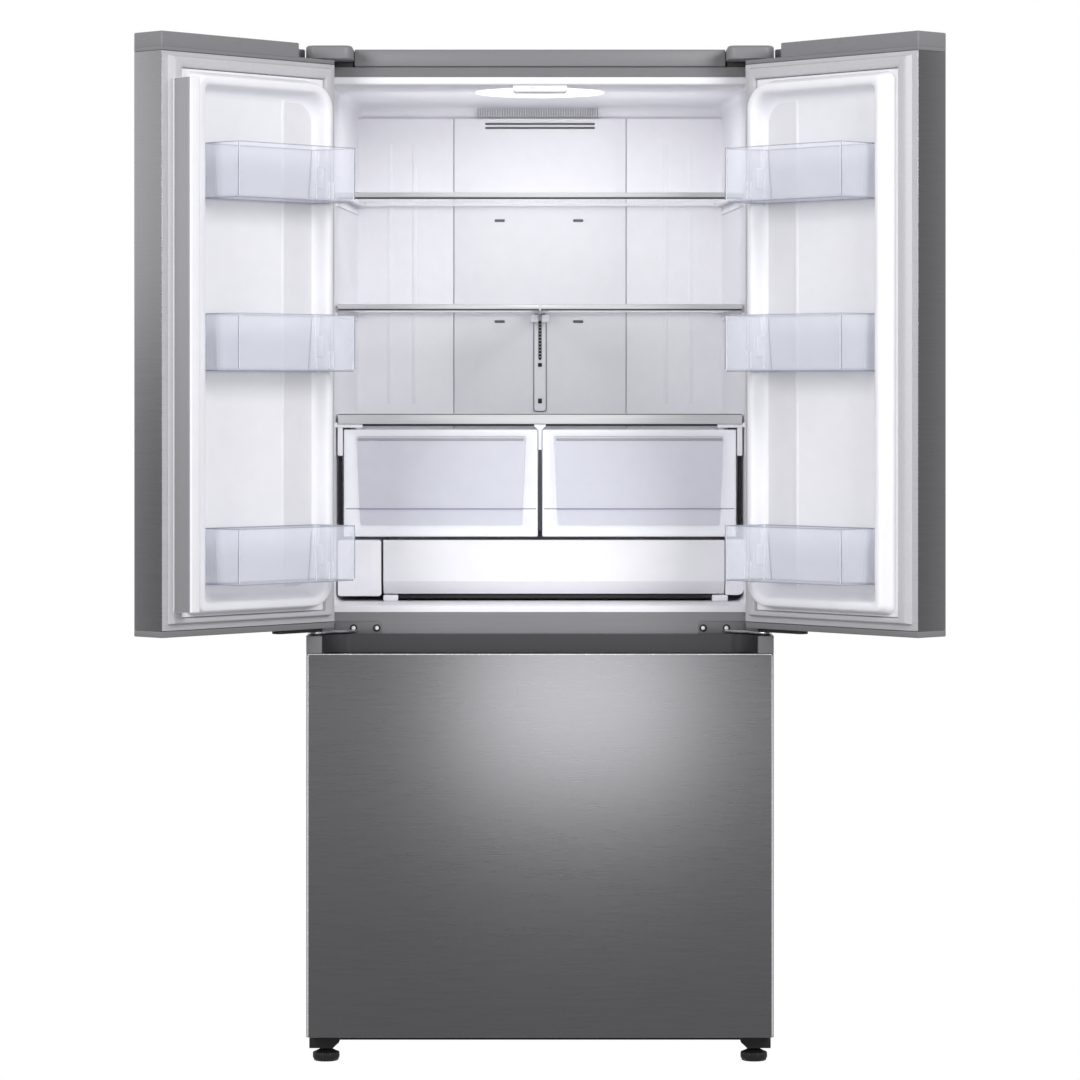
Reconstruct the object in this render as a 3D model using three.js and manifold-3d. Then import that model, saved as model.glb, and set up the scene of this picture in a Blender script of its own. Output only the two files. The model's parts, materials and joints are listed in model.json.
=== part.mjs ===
// A french door refrigerator: two upper doors, stored open, over one freezer drawer.
// Millimetres, +X right, +Y to the back, +Z up. The outer face of the closed doors is at Y = 0
// while the pieces are made; the whole group is then centred over the floor.

import * as THREE from 'three';
import { mergeVertices } from 'three/addons/utils/BufferGeometryUtils.js';
import Module from 'manifold-3d';

const wasm = await Module();
wasm.setup();

// ---------- driving sizes ----------
const WIDTH = 814;
const HALF = WIDTH / 2;
const HEIGHT = 1776;
const DOOR_THICK = 72;
const SEAL = 13; // room for the gasket between a door and the case
const CASE_FRONT = DOOR_THICK + SEAL;
const CASE_BACK = 690;
const CASE_BOTTOM = 48;
const CASE_TOP = 1743;
const STEEL = 1.5;
const SHEET = 2.5; // thickness of the moulded liners
const GAP = 0.3; // clearance between pieces that touch
const PLAY = 1; // clearance between pieces that slide or turn

// fresh food room; its side walls draw in towards the back
const ROOM_FRONT_HALF = 374;
const ROOM_BACK_HALF = 343;
const ROOM_BACK = 600;
const FRESH_FLOOR = 796;
const FRESH_TOP = 1712;
const FLANGE_HALF = 381;
const SILL_BOTTOM = 783;
const BAND_BOTTOM = 1726; // lower edge of the steel band over the fresh food room

// freezer room, stepped over the machine space
const FREEZER_HALF = 353;
const FREEZER_FLOOR = 108;
const FREEZER_TOP = 730;
const BEAM_BOTTOM = 742.8;
const STEP_FRONT = 430;
const STEP_TOP = 300;

// doors
const DOOR_GAP = 3.5; // half the gap between the closed doors
const DOOR_WIDTH = HALF - DOOR_GAP;
const DOOR_BOTTOM = 760;
const DOOR_TOP = 1774;
const BOTTOM_CAP_TOP = 770.5;
const TOP_CAP_BOTTOM = 1742;
const HINGE_NOTCH = 1749;
const HINGE_NOTCH_WIDTH = 85;
const PIN_X = 395.8;
const PIN_Y = 31.1;
const PIN_RADIUS = 5;
const OPEN_ANGLE = THREE.MathUtils.degToRad(132.5);
const RIM_NEAR = 36; // raised rim of the door liner, from the hinge edge
const RIM_FAR = 350;
const RIM_HEIGHT = 35;
const RIM_WIDTH = 16;

// freezer drawer front
const FRONT_BOTTOM = 48;
const FRONT_TOP = 746.7;
const PANEL_TOP = 715.4;
const SCOOP_HALF = 378;
const SCOOP_DEPTH = 52;
const LIP = 14;

// feet and rollers
const FOOT_X = 375;
const FOOT_Y = 58;
const FOOT_RADIUS = 23.5;
const ROLLER_Y = 640;
const ROLLER_RADIUS = 22;

// ---------- materials ----------
function look(colour, roughness, metalness, opacity = 1) {
  return new THREE.MeshStandardMaterial({
    color: colour,
    roughness,
    metalness,
    opacity,
    transparent: opacity < 1,
  });
}
const steelFront = look('#8f9093', 0.35, 0.9);
const steelGrey = look('#8a8b8e', 0.45, 0.6);
const caseGrey = look('#77787c', 0.5, 0.4);
const capGrey = look('#7f8084', 0.55, 0.1);
const handleGrey = look('#4b4c50', 0.4, 0.4);
const gasketGrey = look('#a3a4a8', 0.8, 0);
const white = look('#eef0f2', 0.35, 0);
const clear = look('#dfe6f4', 0.1, 0, 0.45);
const glass = look('#cfdcd8', 0.05, 0, 0.5);
const foam = look('#e0cf9a', 0.9, 0);
const black = look('#1c1c1e', 0.6, 0.1);
const zinc = look('#b4b6b8', 0.4, 0.8);
const aluminium = look('#c3c6c8', 0.4, 0.8);

// ---------- solids ----------
function solid(geometry) {
  const bare = geometry.index ? geometry.toNonIndexed() : geometry.clone();
  bare.deleteAttribute('normal');
  bare.deleteAttribute('uv');
  const merged = mergeVertices(bare, 1e-4);
  return new wasm.Manifold(new wasm.Mesh({
    numProp: 3,
    vertProperties: merged.attributes.position.array,
    triVerts: merged.index.array,
  }));
}

function surface(body) {
  const mesh = body.getMesh();
  const geometry = new THREE.BufferGeometry();
  geometry.setAttribute('position', new THREE.Float32BufferAttribute(mesh.vertProperties, 3));
  geometry.setIndex(Array.from(mesh.triVerts));
  geometry.computeVertexNormals();
  return geometry;
}

function join(...bodies) {
  return bodies.reduce((sum, body) => sum.add(body));
}

function cut(base, ...tools) {
  return tools.reduce((rest, tool) => rest.subtract(tool), base);
}

// A box from its low and high limits along each axis.
function block(x, y, z) {
  const geometry = new THREE.BoxGeometry(x[1] - x[0], y[1] - y[0], z[1] - z[0]);
  geometry.translate((x[0] + x[1]) / 2, (y[0] + y[1]) / 2, (z[0] + z[1]) / 2);
  return solid(geometry);
}

// A rectangle with its own radius at each corner, from low-low round to low-high.
function roundedRect(u, v, radii, segments = 5) {
  const [a, b, c, d] = Array.isArray(radii) ? radii : [radii, radii, radii, radii];
  const shape = new THREE.Shape();
  shape.moveTo(u[0] + a, v[0]);
  shape.lineTo(u[1] - b, v[0]);
  if (b) shape.absarc(u[1] - b, v[0] + b, b, -Math.PI / 2, 0);
  shape.lineTo(u[1], v[1] - c);
  if (c) shape.absarc(u[1] - c, v[1] - c, c, 0, Math.PI / 2);
  shape.lineTo(u[0] + d, v[1]);
  if (d) shape.absarc(u[0] + d, v[1] - d, d, Math.PI / 2, Math.PI);
  shape.lineTo(u[0], v[0] + a);
  if (a) shape.absarc(u[0] + a, v[0] + a, a, Math.PI, 1.5 * Math.PI);
  shape.userData = { segments };
  return shape;
}

function polygon(points) {
  return new THREE.Shape(points.map(([u, v]) => new THREE.Vector2(u, v)));
}

function extruded(shape, depth) {
  const curveSegments = shape.userData?.segments ?? 5;
  return new THREE.ExtrudeGeometry(shape, { depth, bevelEnabled: false, curveSegments });
}

// An outline in X and Y, raised along Z.
function upright(shape, z) {
  return solid(extruded(shape, z[1] - z[0]).translate(0, 0, z[0]));
}

// An outline in X and Z, carried along Y.
function facing(shape, y) {
  return solid(extruded(shape, y[1] - y[0]).rotateX(Math.PI / 2).translate(0, y[1], 0));
}

// An outline in Y and Z, carried along X.
function sideways(shape, x) {
  const axes = new THREE.Matrix4().makeBasis(
    new THREE.Vector3(0, 1, 0),
    new THREE.Vector3(0, 0, 1),
    new THREE.Vector3(1, 0, 0),
  );
  return solid(extruded(shape, x[1] - x[0]).applyMatrix4(axes).translate(x[0], 0, 0));
}

// A round bar along Z, Y or X between two limits.
function rod(axis, centre, radius, span, sides = 20, endRadius = radius) {
  const geometry = new THREE.CylinderGeometry(endRadius, radius, span[1] - span[0], sides);
  const middle = (span[0] + span[1]) / 2;
  if (axis === 'z') geometry.rotateX(Math.PI / 2).translate(centre[0], centre[1], middle);
  if (axis === 'y') geometry.translate(centre[0], middle, centre[1]);
  if (axis === 'x') geometry.rotateZ(-Math.PI / 2).translate(middle, centre[0], centre[1]);
  return solid(geometry);
}

// The same solid on the other side of the middle plane.
function mirrored(body) {
  const geometry = surface(body).scale(-1, 1, 1);
  const index = geometry.index.array;
  for (let i = 0; i < index.length; i += 3) {
    [index[i], index[i + 1]] = [index[i + 1], index[i]];
  }
  return solid(geometry);
}

function bothSides(body) {
  return join(body, mirrored(body));
}

function addPiece(parent, name, body, material) {
  const mesh = new THREE.Mesh(surface(body), material);
  mesh.name = name;
  parent.add(mesh);
}

// ---------- cabinet ----------
function cabinetWrapper() {
  const outer = block([-HALF, HALF], [CASE_FRONT, CASE_BACK], [CASE_BOTTOM, CASE_TOP]);
  const inner = block(
    [-HALF + STEEL, HALF - STEEL],
    [CASE_FRONT + STEEL, CASE_BACK + 1],
    [CASE_BOTTOM - 1, CASE_TOP - STEEL],
  );
  const mouthHalf = FLANGE_HALF + GAP;
  const mouth = block([-mouthHalf, mouthHalf], [0, CASE_BACK], [0, BAND_BOTTOM]);
  return cut(outer, inner, mouth);
}

function backPanel() {
  const reach = HALF - STEEL - GAP;
  return block(
    [-reach, reach],
    [CASE_BACK - STEEL, CASE_BACK],
    [STEP_TOP + GAP, CASE_TOP - STEEL - GAP],
  );
}

// Half the width of the fresh food room at a depth.
function roomHalf(y) {
  const slope = (ROOM_FRONT_HALF - ROOM_BACK_HALF) / (ROOM_BACK - CASE_FRONT);
  return ROOM_FRONT_HALF - slope * (y - CASE_FRONT);
}

// The space of the fresh food room between two depths, grown on every side.
function freshSpace(front, back, grow, round = 0) {
  const slice = (y, from) => facing(
    roundedRect(
      [-roomHalf(y) - grow, roomHalf(y) + grow],
      [FRESH_FLOOR - grow, FRESH_TOP + grow],
      round,
      3,
    ),
    [from, from + 1],
  );
  return wasm.Manifold.hull([slice(front, front), slice(back, back - 1)]);
}

function freshLiner() {
  const walls = freshSpace(CASE_FRONT, ROOM_BACK + SHEET, SHEET);
  const flange = block(
    [-FLANGE_HALF, FLANGE_HALF],
    [CASE_FRONT, CASE_FRONT + SHEET],
    [SILL_BOTTOM + GAP, BAND_BOTTOM - GAP],
  );
  const room = freshSpace(0, ROOM_BACK, 0, 12);
  return cut(join(walls, flange), room);
}

function freezerRoomProfile(grow) {
  const top = FREEZER_TOP + grow;
  const bottom = FREEZER_FLOOR - grow;
  const step = STEP_TOP + SHEET + GAP + grow;
  const front = STEP_FRONT - SHEET - GAP + grow;
  return [[bottom], [front, step], [ROOM_BACK + grow, top]];
}

function freezerProfile(front, grow) {
  const [[bottom], [stepFront, stepTop], [back, top]] = freezerRoomProfile(grow);
  return polygon([
    [front, bottom],
    [stepFront, bottom],
    [stepFront, stepTop - 2 * grow],
    [back, stepTop - 2 * grow],
    [back, top],
    [front, top],
  ]);
}

function freezerLiner() {
  const outerHalf = FREEZER_HALF + SHEET;
  const walls = sideways(freezerProfile(CASE_FRONT, SHEET), [-outerHalf, outerHalf]);
  const flange = block(
    [-FLANGE_HALF, FLANGE_HALF],
    [CASE_FRONT, CASE_FRONT + SHEET],
    [FREEZER_FLOOR - 12, BEAM_BOTTOM - GAP],
  );
  const room = sideways(freezerProfile(0, 0), [-FREEZER_HALF, FREEZER_HALF]);
  return cut(join(walls, flange), room);
}

const BEAM_BACK = CASE_FRONT + 14;
function mullionBeam() {
  return block(
    [-FLANGE_HALF, FLANGE_HALF],
    [CASE_FRONT, BEAM_BACK],
    [BEAM_BOTTOM, SILL_BOTTOM],
  );
}

function foamCore() {
  const half = HALF - STEEL - GAP;
  const back = CASE_BACK - STEEL - GAP;
  const bulk = sideways(polygon([
    [CASE_FRONT + SHEET + GAP, 62],
    [STEP_FRONT, 62],
    [STEP_FRONT, STEP_TOP + GAP],
    [back, STEP_TOP + GAP],
    [back, CASE_TOP - STEEL - GAP],
    [CASE_FRONT + SHEET + GAP, CASE_TOP - STEEL - GAP],
  ]), [-half, half]);
  const around = SHEET + GAP;
  const freshRoom = freshSpace(0, ROOM_BACK + around, around);
  const freezerHalf = FREEZER_HALF + around;
  const freezerRoom = sideways(freezerProfile(0, around), [-freezerHalf, freezerHalf]);
  const beamSpace = block(
    [-FLANGE_HALF - GAP, FLANGE_HALF + GAP],
    [0, BEAM_BACK + GAP],
    [BEAM_BOTTOM - GAP, SILL_BOTTOM + GAP],
  );
  return cut(bulk, freshRoom, freezerRoom, beamSpace);
}

// ---------- top of the cabinet ----------
const COVER_NEAR = 327;
const COVER_FAR = 409;
const COVER_FRONT = 16;
const COVER_BACK = 190;
const COVER_BOTTOM = 1752.5;
const TOP_CAP_HALF = COVER_NEAR - 1;
const TOP_CAP_FRONT = 79;

function topCap() {
  const profile = polygon([
    [TOP_CAP_FRONT, CASE_TOP + 1],
    [TOP_CAP_FRONT + 6, CASE_TOP + GAP],
    [COVER_BACK, CASE_TOP + GAP],
    [COVER_BACK, CASE_TOP + 12],
    [COVER_BACK - 20, DOOR_TOP],
    [TOP_CAP_FRONT + 3, DOOR_TOP],
    [TOP_CAP_FRONT, DOOR_TOP - 3],
  ]);
  return sideways(profile, [-TOP_CAP_HALF, TOP_CAP_HALF]);
}

function hingeCover() {
  const outline = (inset) => roundedRect(
    [COVER_NEAR + inset, COVER_FAR - inset],
    [COVER_FRONT + inset, COVER_BACK - inset],
    [16 - inset / 2, 16 - inset / 2, 6, 6],
    4,
  );
  const wall = 2.5;
  const shell = upright(outline(0), [COVER_BOTTOM, HEIGHT]);
  const skirt = block(
    [COVER_NEAR, COVER_FAR - 2],
    [CASE_FRONT + 4, COVER_BACK],
    [CASE_TOP + GAP, COVER_BOTTOM + 1],
  );
  const hollow = upright(outline(wall), [COVER_BOTTOM - 1, HEIGHT - wall]);
  const underHollow = block(
    [COVER_NEAR + wall, COVER_FAR - 2 - wall],
    [CASE_FRONT + 4 - 1, COVER_BACK - wall],
    [CASE_TOP, COVER_BOTTOM + 2],
  );
  return cut(join(shell, skirt), hollow, underHollow);
}

// Steel plate screwed to the case, with the pin that drops into the door's top cap.
const HINGE_PLATE = [CASE_TOP + 10, CASE_TOP + 14];
function topHinge() {
  const plate = upright(
    roundedRect([COVER_NEAR + 8, PIN_X + 9], [PIN_Y - 9, 170], [14, 9, 4, 4], 3),
    HINGE_PLATE,
  );
  const spacer = block(
    [COVER_NEAR + 10, PIN_X],
    [CASE_FRONT + 12, 165],
    [CASE_TOP + GAP, HINGE_PLATE[0] + 1],
  );
  const pin = rod('z', [PIN_X, PIN_Y], PIN_RADIUS, [CASE_TOP, HINGE_PLATE[0] + 1]);
  return join(plate, spacer, pin);
}

// Plate bolted to the beam between the rooms, with the arm and pin under the door.
const ARM_BOTTOM = 748.5;
const ARM_TOP = 752.5;
function midHinge() {
  const plateFront = CASE_FRONT - GAP - 3;
  const plate = facing(
    roundedRect([279, 361], [744, 768], 5, 4),
    [plateFront, CASE_FRONT - GAP],
  );
  const arm = upright(polygon([
    [PIN_X + 9, PIN_Y - 4],
    [PIN_X + 9, PIN_Y + 10],
    [361, CASE_FRONT - GAP],
    [318, CASE_FRONT - GAP],
    [PIN_X - 14, PIN_Y - 9],
    [PIN_X - 2, PIN_Y - 12],
  ]), [ARM_BOTTOM, ARM_TOP]);
  const pin = rod('z', [PIN_X, PIN_Y], PIN_RADIUS, [ARM_BOTTOM, BOTTOM_CAP_TOP - 1]);
  const bolts = [287, 328].map((x) => join(
    rod('y', [x, 756], 6.5, [plateFront - 3, plateFront + 1], 12),
    rod('y', [x, 756], 3.6, [plateFront - 6, plateFront], 6),
  ));
  return join(plate, arm, pin, ...bolts);
}

// ---------- fresh food room ----------
const DUCT_HALF = 162;
const DUCT_FRONT = 586;
const DUCT_BOTTOM = 912;
const DUCT_TOP = 1688;

function ductCover() {
  const cover = block(
    [-DUCT_HALF, DUCT_HALF],
    [DUCT_FRONT, ROOM_BACK - GAP],
    [DUCT_BOTTOM, DUCT_TOP],
  );
  const wideSlots = [1668, 1675.5].map(
    (z) => block([-104, 104], [0, DUCT_FRONT + 8], [z, z + 4.5]),
  );
  const vents = [];
  for (const x of [-74, 74]) {
    for (const z of [1302, 1492]) {
      vents.push(block([x - 10, x + 10], [0, DUCT_FRONT + 8], [z, z + 6]));
    }
  }
  const track = block([-11, 11], [DUCT_FRONT - 7, DUCT_FRONT + 1], [1136, 1318]);
  const slots = [];
  for (let z = 1160; z < 1310; z += 24) {
    slots.push(block([-3, 3], [0, DUCT_FRONT - 1], [z, z + 10]));
  }
  return cut(join(cover, track), ...wideSlots, ...vents, ...slots);
}

function mullionGuide() {
  const body = block([-48, 48], [CASE_FRONT + 4, CASE_FRONT + 52], [1700, FRESH_TOP - GAP]);
  const groove = block([-26, 26], [CASE_FRONT + 14, CASE_FRONT + 34], [1690, 1706]);
  return cut(body, groove);
}

function lampLens() {
  const outline = roundedRect([-115, 115], [151, 338], 24, 5);
  return upright(outline, [FRESH_TOP - 9, FRESH_TOP - GAP]);
}

const SHELF_FRONT = 204;
const SHELF_BACK = DUCT_FRONT - 10;
function shelfHalf(y) {
  return roomHalf(y) - 4.5;
}

// A flat outline between two sides given as x at a depth.
function between(left, right, front, back) {
  return polygon([
    [left(front), front],
    [right(front), front],
    [right(back), back],
    [left(back), back],
  ]);
}

// A glass plate in a moulded frame, its front trim deeper than the plate.
function shelf(left, right, top) {
  const trimBack = SHELF_FRONT + 22;
  const plate = upright(between(left, right, SHELF_FRONT + 4, SHELF_BACK), [top - 8, top - 2]);
  const trim = sideways(polygon([
    [SHELF_FRONT, top - 10],
    [SHELF_FRONT + 4, top - 13],
    [trimBack, top - 13],
    [trimBack, top],
    [SHELF_FRONT + 3, top],
    [SHELF_FRONT, top - 3],
  ]), [left(SHELF_FRONT), right(SHELF_FRONT)]);
  const backTrim = upright(between(left, right, SHELF_BACK - 14, SHELF_BACK + 2), [top - 12, top]);
  const edge = 12;
  const leftEdge = between(left, (y) => left(y) + edge, SHELF_FRONT + 4, SHELF_BACK);
  const rightEdge = between((y) => right(y) - edge, right, SHELF_FRONT + 4, SHELF_BACK);
  const edges = [leftEdge, rightEdge].map((outline) => upright(outline, [top - 14, top]));
  return join(plate, trim, backTrim, ...edges);
}

const UPPER_SHELF = 1529;
const MIDDLE_SHELF = 1329;
const CRISPER_COVER = 1132;

const CRISPER_FRONT = 215;
const CRISPER_BACK = 560;
const CRISPER_BOTTOM = 912;
const CRISPER_TOP = 1104;
const CRISPER_OUTER = 330;
const CRISPER_INNER = 6;
const CRISPER_FACE = 352; // the front is wider than the tray behind it
const FUNNEL_TOP = CRISPER_COVER - 18;

// Glass lid over the crispers, with its hanging centre support and outer rails.
function crisperCover() {
  const lid = upright(
    between((y) => -shelfHalf(y), shelfHalf, CRISPER_FRONT - 6, CRISPER_BACK + 15),
    [CRISPER_COVER - 16, CRISPER_COVER],
  );
  const funnel = facing(polygon([
    [-10, FUNNEL_TOP + 4],
    [-10, FUNNEL_TOP],
    [-3, FUNNEL_TOP - 8],
    [-3, CRISPER_BOTTOM + 10],
    [3, CRISPER_BOTTOM + 10],
    [3, FUNNEL_TOP - 8],
    [10, FUNNEL_TOP],
    [10, FUNNEL_TOP + 4],
  ]), [CRISPER_FRONT, CRISPER_BACK]);
  const rail = block(
    [CRISPER_OUTER + 3, CRISPER_OUTER + 10],
    [CRISPER_FRONT + 9, CRISPER_BACK],
    [1080, CRISPER_COVER - 14],
  );
  const stop = block(
    [CRISPER_FACE + 2.5, CRISPER_FACE + 8],
    [CRISPER_FRONT, CRISPER_FRONT + 24],
    [1057, CRISPER_COVER - 14],
  );
  return join(lid, funnel, bothSides(rail), bothSides(stop));
}

// An open tray: outer box less its hollow, with a rim of its own around the top.
function tray(x, y, z, wall, floor = wall) {
  return cut(
    block(x, y, z),
    block([x[0] + wall, x[1] - wall], [y[0] + wall, y[1] - wall], [z[0] + floor, z[1] + 1]),
  );
}

function crisper() {
  const x = [CRISPER_INNER, CRISPER_OUTER];
  const bin = tray(x, [CRISPER_FRONT + 6, CRISPER_BACK - 8], [CRISPER_BOTTOM, CRISPER_TOP], 3);
  const front = block(
    [CRISPER_INNER - 2, CRISPER_FACE],
    [CRISPER_FRONT, CRISPER_FRONT + 7],
    [CRISPER_BOTTOM, CRISPER_TOP],
  );
  return join(bin, front);
}

const PANTRY_LEFT = -281;
const PANTRY_RIGHT = 331;
function pantryDrawer() {
  const bin = tray(
    [PANTRY_LEFT + 6, PANTRY_RIGHT - 6],
    [CRISPER_FRONT + 8, 575],
    [814, 900],
    3,
  );
  const front = sideways(polygon([
    [CRISPER_FRONT + 8, 809],
    [CRISPER_FRONT + 14, 809],
    [CRISPER_FRONT + 14, 906],
    [CRISPER_FRONT, 906],
    [CRISPER_FRONT, 832],
  ]), [PANTRY_LEFT, PANTRY_RIGHT]);
  return join(bin, front);
}

function filterCover() {
  const outline = between((y) => 3 - roomHalf(y), () => PANTRY_LEFT - 4, CRISPER_FRONT, 575);
  return upright(outline, [805, 906]);
}

// ---------- doors, made closed on the right; x is measured from the middle plane ----------
const HINGE_EDGE = HALF;
const FREE_EDGE = DOOR_GAP;

// Runs from the hinge edge of the door towards its free edge.
function fromHinge(near, far) {
  return [HINGE_EDGE - far, HINGE_EDGE - near];
}

function doorOutline() {
  return roundedRect([FREE_EDGE, HINGE_EDGE], [0, DOOR_THICK], [5, 5, 2, 2], 3);
}

function doorPanel() {
  return upright(doorOutline(), [BOTTOM_CAP_TOP + GAP, TOP_CAP_BOTTOM - GAP]);
}

function doorTopCap() {
  const notch = block(
    fromHinge(-1, HINGE_NOTCH_WIDTH),
    [-1, DOOR_THICK + 1],
    [HINGE_NOTCH, DOOR_TOP + 1],
  );
  const socket = rod('z', [PIN_X, PIN_Y], PIN_RADIUS + PLAY, [TOP_CAP_BOTTOM - 1, DOOR_TOP], 24);
  return cut(upright(doorOutline(), [TOP_CAP_BOTTOM, DOOR_TOP]), notch, socket);
}

// End cap with the self-closing cam under it.
function doorBottomCap() {
  const cap = upright(doorOutline(), [DOOR_BOTTOM, BOTTOM_CAP_TOP]);
  const closer = upright(
    roundedRect(fromHinge(22, 128), [44, 66], [8, 3, 3, 8], 3),
    [DOOR_BOTTOM - 6, DOOR_BOTTOM + 1],
  );
  const socket = rod('z', [PIN_X, PIN_Y], PIN_RADIUS + PLAY, [0, DOOR_TOP], 24);
  return cut(join(cap, closer), socket);
}

const RIM_BOTTOM = 802;
const RIM_TOP = 1702;
const LINER_BACK = DOOR_THICK + GAP;
const SHEET_NEAR = 34; // flat border of the liner, from the hinge edge
const SHEET_FAR = 366;
const SHEET_Z = [793, 1713];
function doorLiner() {
  const sheet = block(fromHinge(SHEET_NEAR, SHEET_FAR), [LINER_BACK, LINER_BACK + 6], SHEET_Z);
  const outer = facing(
    roundedRect(fromHinge(RIM_NEAR, RIM_FAR), [RIM_BOTTOM, RIM_TOP], [12, 44, 44, 12], 6),
    [LINER_BACK, DOOR_THICK + RIM_HEIGHT],
  );
  const inner = facing(
    roundedRect(
      fromHinge(RIM_NEAR + RIM_WIDTH, RIM_FAR - RIM_WIDTH),
      [RIM_BOTTOM + 20, RIM_TOP - 20],
      [10, 32, 32, 10],
      6,
    ),
    [LINER_BACK + 6, DOOR_THICK + RIM_HEIGHT + 1],
  );
  return cut(join(sheet, outer), inner);
}

function doorGasket() {
  const y = [LINER_BACK, CASE_FRONT - 0.6];
  const outer = block(fromHinge(13, DOOR_WIDTH - 13), y, [782, 1735]);
  const inner = block(
    fromHinge(SHEET_NEAR - 0.5, SHEET_FAR + 0.5),
    [0, CASE_FRONT],
    [SHEET_Z[0] - 0.5, SHEET_Z[1] + 0.5],
  );
  return cut(outer, inner);
}

// Clear bin: its back sits between the rims of the liner, its front reaches over the near rim.
const BIN_FRONT = DOOR_THICK + 99;
const BIN_BACK = LINER_BACK + 8;
const BIN_NEAR = 45;
const BIN_FAR = 321;
const BIN_TUCK = RIM_WIDTH + RIM_NEAR - BIN_NEAR + 2;
const RIM_FACE = DOOR_THICK + RIM_HEIGHT;
function doorBin(z) {
  const wall = 3;
  const wide = fromHinge(BIN_NEAR, BIN_FAR);
  const narrow = fromHinge(BIN_NEAR + BIN_TUCK, BIN_FAR - 2);
  const outer = join(
    block(narrow, [BIN_BACK, RIM_FACE + 6], z),
    upright(roundedRect(wide, [RIM_FACE + 1, BIN_FRONT], [0, 0, 10, 10], 3), z),
  );
  const inset = ([low, high]) => [low + wall, high - wall];
  const hollowZ = [z[0] + wall, z[1] + 1];
  const hollow = join(
    block(inset(narrow), [BIN_BACK + wall, RIM_FACE + 7], hollowZ),
    upright(
      roundedRect(inset(wide), [RIM_FACE + 1 + wall, BIN_FRONT - wall], [0, 0, 7, 7], 3),
      hollowZ,
    ),
  );
  return cut(outer, hollow);
}

// Hinged strip on the left door that closes the gap between the doors, shown folded back.
const FLAP_FACE = FREE_EDGE + 13;
const FLAP_THICK = 24;
const FLAP_WIDTH = 43;
const FLAP_BOTTOM = 803;
const FLAP_TOP = 1696;
const FLAP_PIVOT_X = FLAP_FACE + 2;
const FLAP_PIVOT_Y = CASE_FRONT + 3;
function mullionFlap() {
  const outline = roundedRect(
    [FLAP_FACE, FLAP_FACE + FLAP_THICK],
    [CASE_FRONT, CASE_FRONT + FLAP_WIDTH],
    [2, 2, 5, 3],
    3,
  );
  return upright(outline, [FLAP_BOTTOM, FLAP_TOP]);
}

// ---------- freezer drawer ----------
const SCOOP_BOTTOM = 684;
const CHANNEL = { half: SCOOP_HALF + 4, back: SCOOP_DEPTH + 4, bottom: SCOOP_BOTTOM - 4 };

function freezerFront() {
  const panel = upright(
    roundedRect([-HALF, HALF], [0, DOOR_THICK], [5, 5, 2, 2], 3),
    [FRONT_BOTTOM, PANEL_TOP],
  );
  const channel = block(
    [-CHANNEL.half - GAP, CHANNEL.half + GAP],
    [LIP - GAP, CHANNEL.back + GAP],
    [CHANNEL.bottom - GAP, PANEL_TOP + 1],
  );
  return cut(panel, channel);
}

function freezerHandle() {
  const bar = upright(
    roundedRect([-HALF, HALF], [0, DOOR_THICK], [5, 5, 2, 2], 3),
    [PANEL_TOP + GAP, FRONT_TOP],
  );
  const channel = block(
    [-CHANNEL.half, CHANNEL.half],
    [LIP, CHANNEL.back],
    [CHANNEL.bottom, PANEL_TOP + 1],
  );
  const bend = SCOOP_DEPTH - 4;
  const open = upright(
    roundedRect([-SCOOP_HALF, SCOOP_HALF], [-1, SCOOP_DEPTH], [0, 0, bend, bend], 8),
    [PANEL_TOP - 1, FRONT_TOP + 1],
  );
  const deep = upright(
    roundedRect([-SCOOP_HALF, SCOOP_HALF], [LIP + 3, SCOOP_DEPTH], [0, 0, 30, 30], 6),
    [SCOOP_BOTTOM, FRONT_TOP + 1],
  );
  return cut(join(bar, channel), open, deep);
}

const DRAWER_RIM = { half: 344, bottom: 116, top: 722 };
function freezerDoorLiner() {
  const { half, bottom, top } = DRAWER_RIM;
  const sheet = block([-half - 5, half + 5], [LINER_BACK, LINER_BACK + 6], [bottom - 5, top + 5]);
  const outer = facing(roundedRect([-half, half], [bottom, top], 20, 4), [LINER_BACK, 108]);
  const inner = facing(
    roundedRect([-half + 16, half - 16], [bottom + 16, top - 16], 14, 4),
    [LINER_BACK + 6, 109],
  );
  return cut(join(sheet, outer), inner);
}

function freezerGasket() {
  const { half, bottom, top } = DRAWER_RIM;
  const y = [LINER_BACK, CASE_FRONT - 0.6];
  const outer = block([-HALF + 16, HALF - 16], y, [bottom - 30, top + 18]);
  const inner = block([-half - 5.5, half + 5.5], [0, CASE_FRONT], [bottom - 5.5, top + 5.5]);
  return cut(outer, inner);
}

// Deep tub with its two inner slide members.
const TUB_HALF = 322;
const SLIDE_Z = [330, 366];
function freezerBasket() {
  const tub = tray([-TUB_HALF, TUB_HALF], [118, 415], [122, 390], 4);
  const member = block([TUB_HALF - 1, TUB_HALF + 8], [112, 500], [SLIDE_Z[0] + 6, SLIDE_Z[1] - 6]);
  return join(tub, bothSides(member));
}

function freezerSlide() {
  return block([TUB_HALF + 10, TUB_HALF + 18], [116, 508], SLIDE_Z);
}

function freezerUpperDrawer() {
  const x = [-TUB_HALF, TUB_HALF];
  return join(
    tray(x, [124, 500], [430, 620], 4),
    block(x, [118, 125], [450, 632]),
  );
}

const EVAP_COVER = 516;
function freezerDuctCover() {
  const cover = block([-340, 340], [EVAP_COVER, EVAP_COVER + 4], [312, 722]);
  const slots = [];
  for (let x = -250; x <= 250; x += 100) {
    slots.push(block([x - 30, x + 30], [0, 560], [640, 646]));
    slots.push(block([x - 30, x + 30], [0, 560], [340, 346]));
  }
  return cut(cover, ...slots);
}

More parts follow.
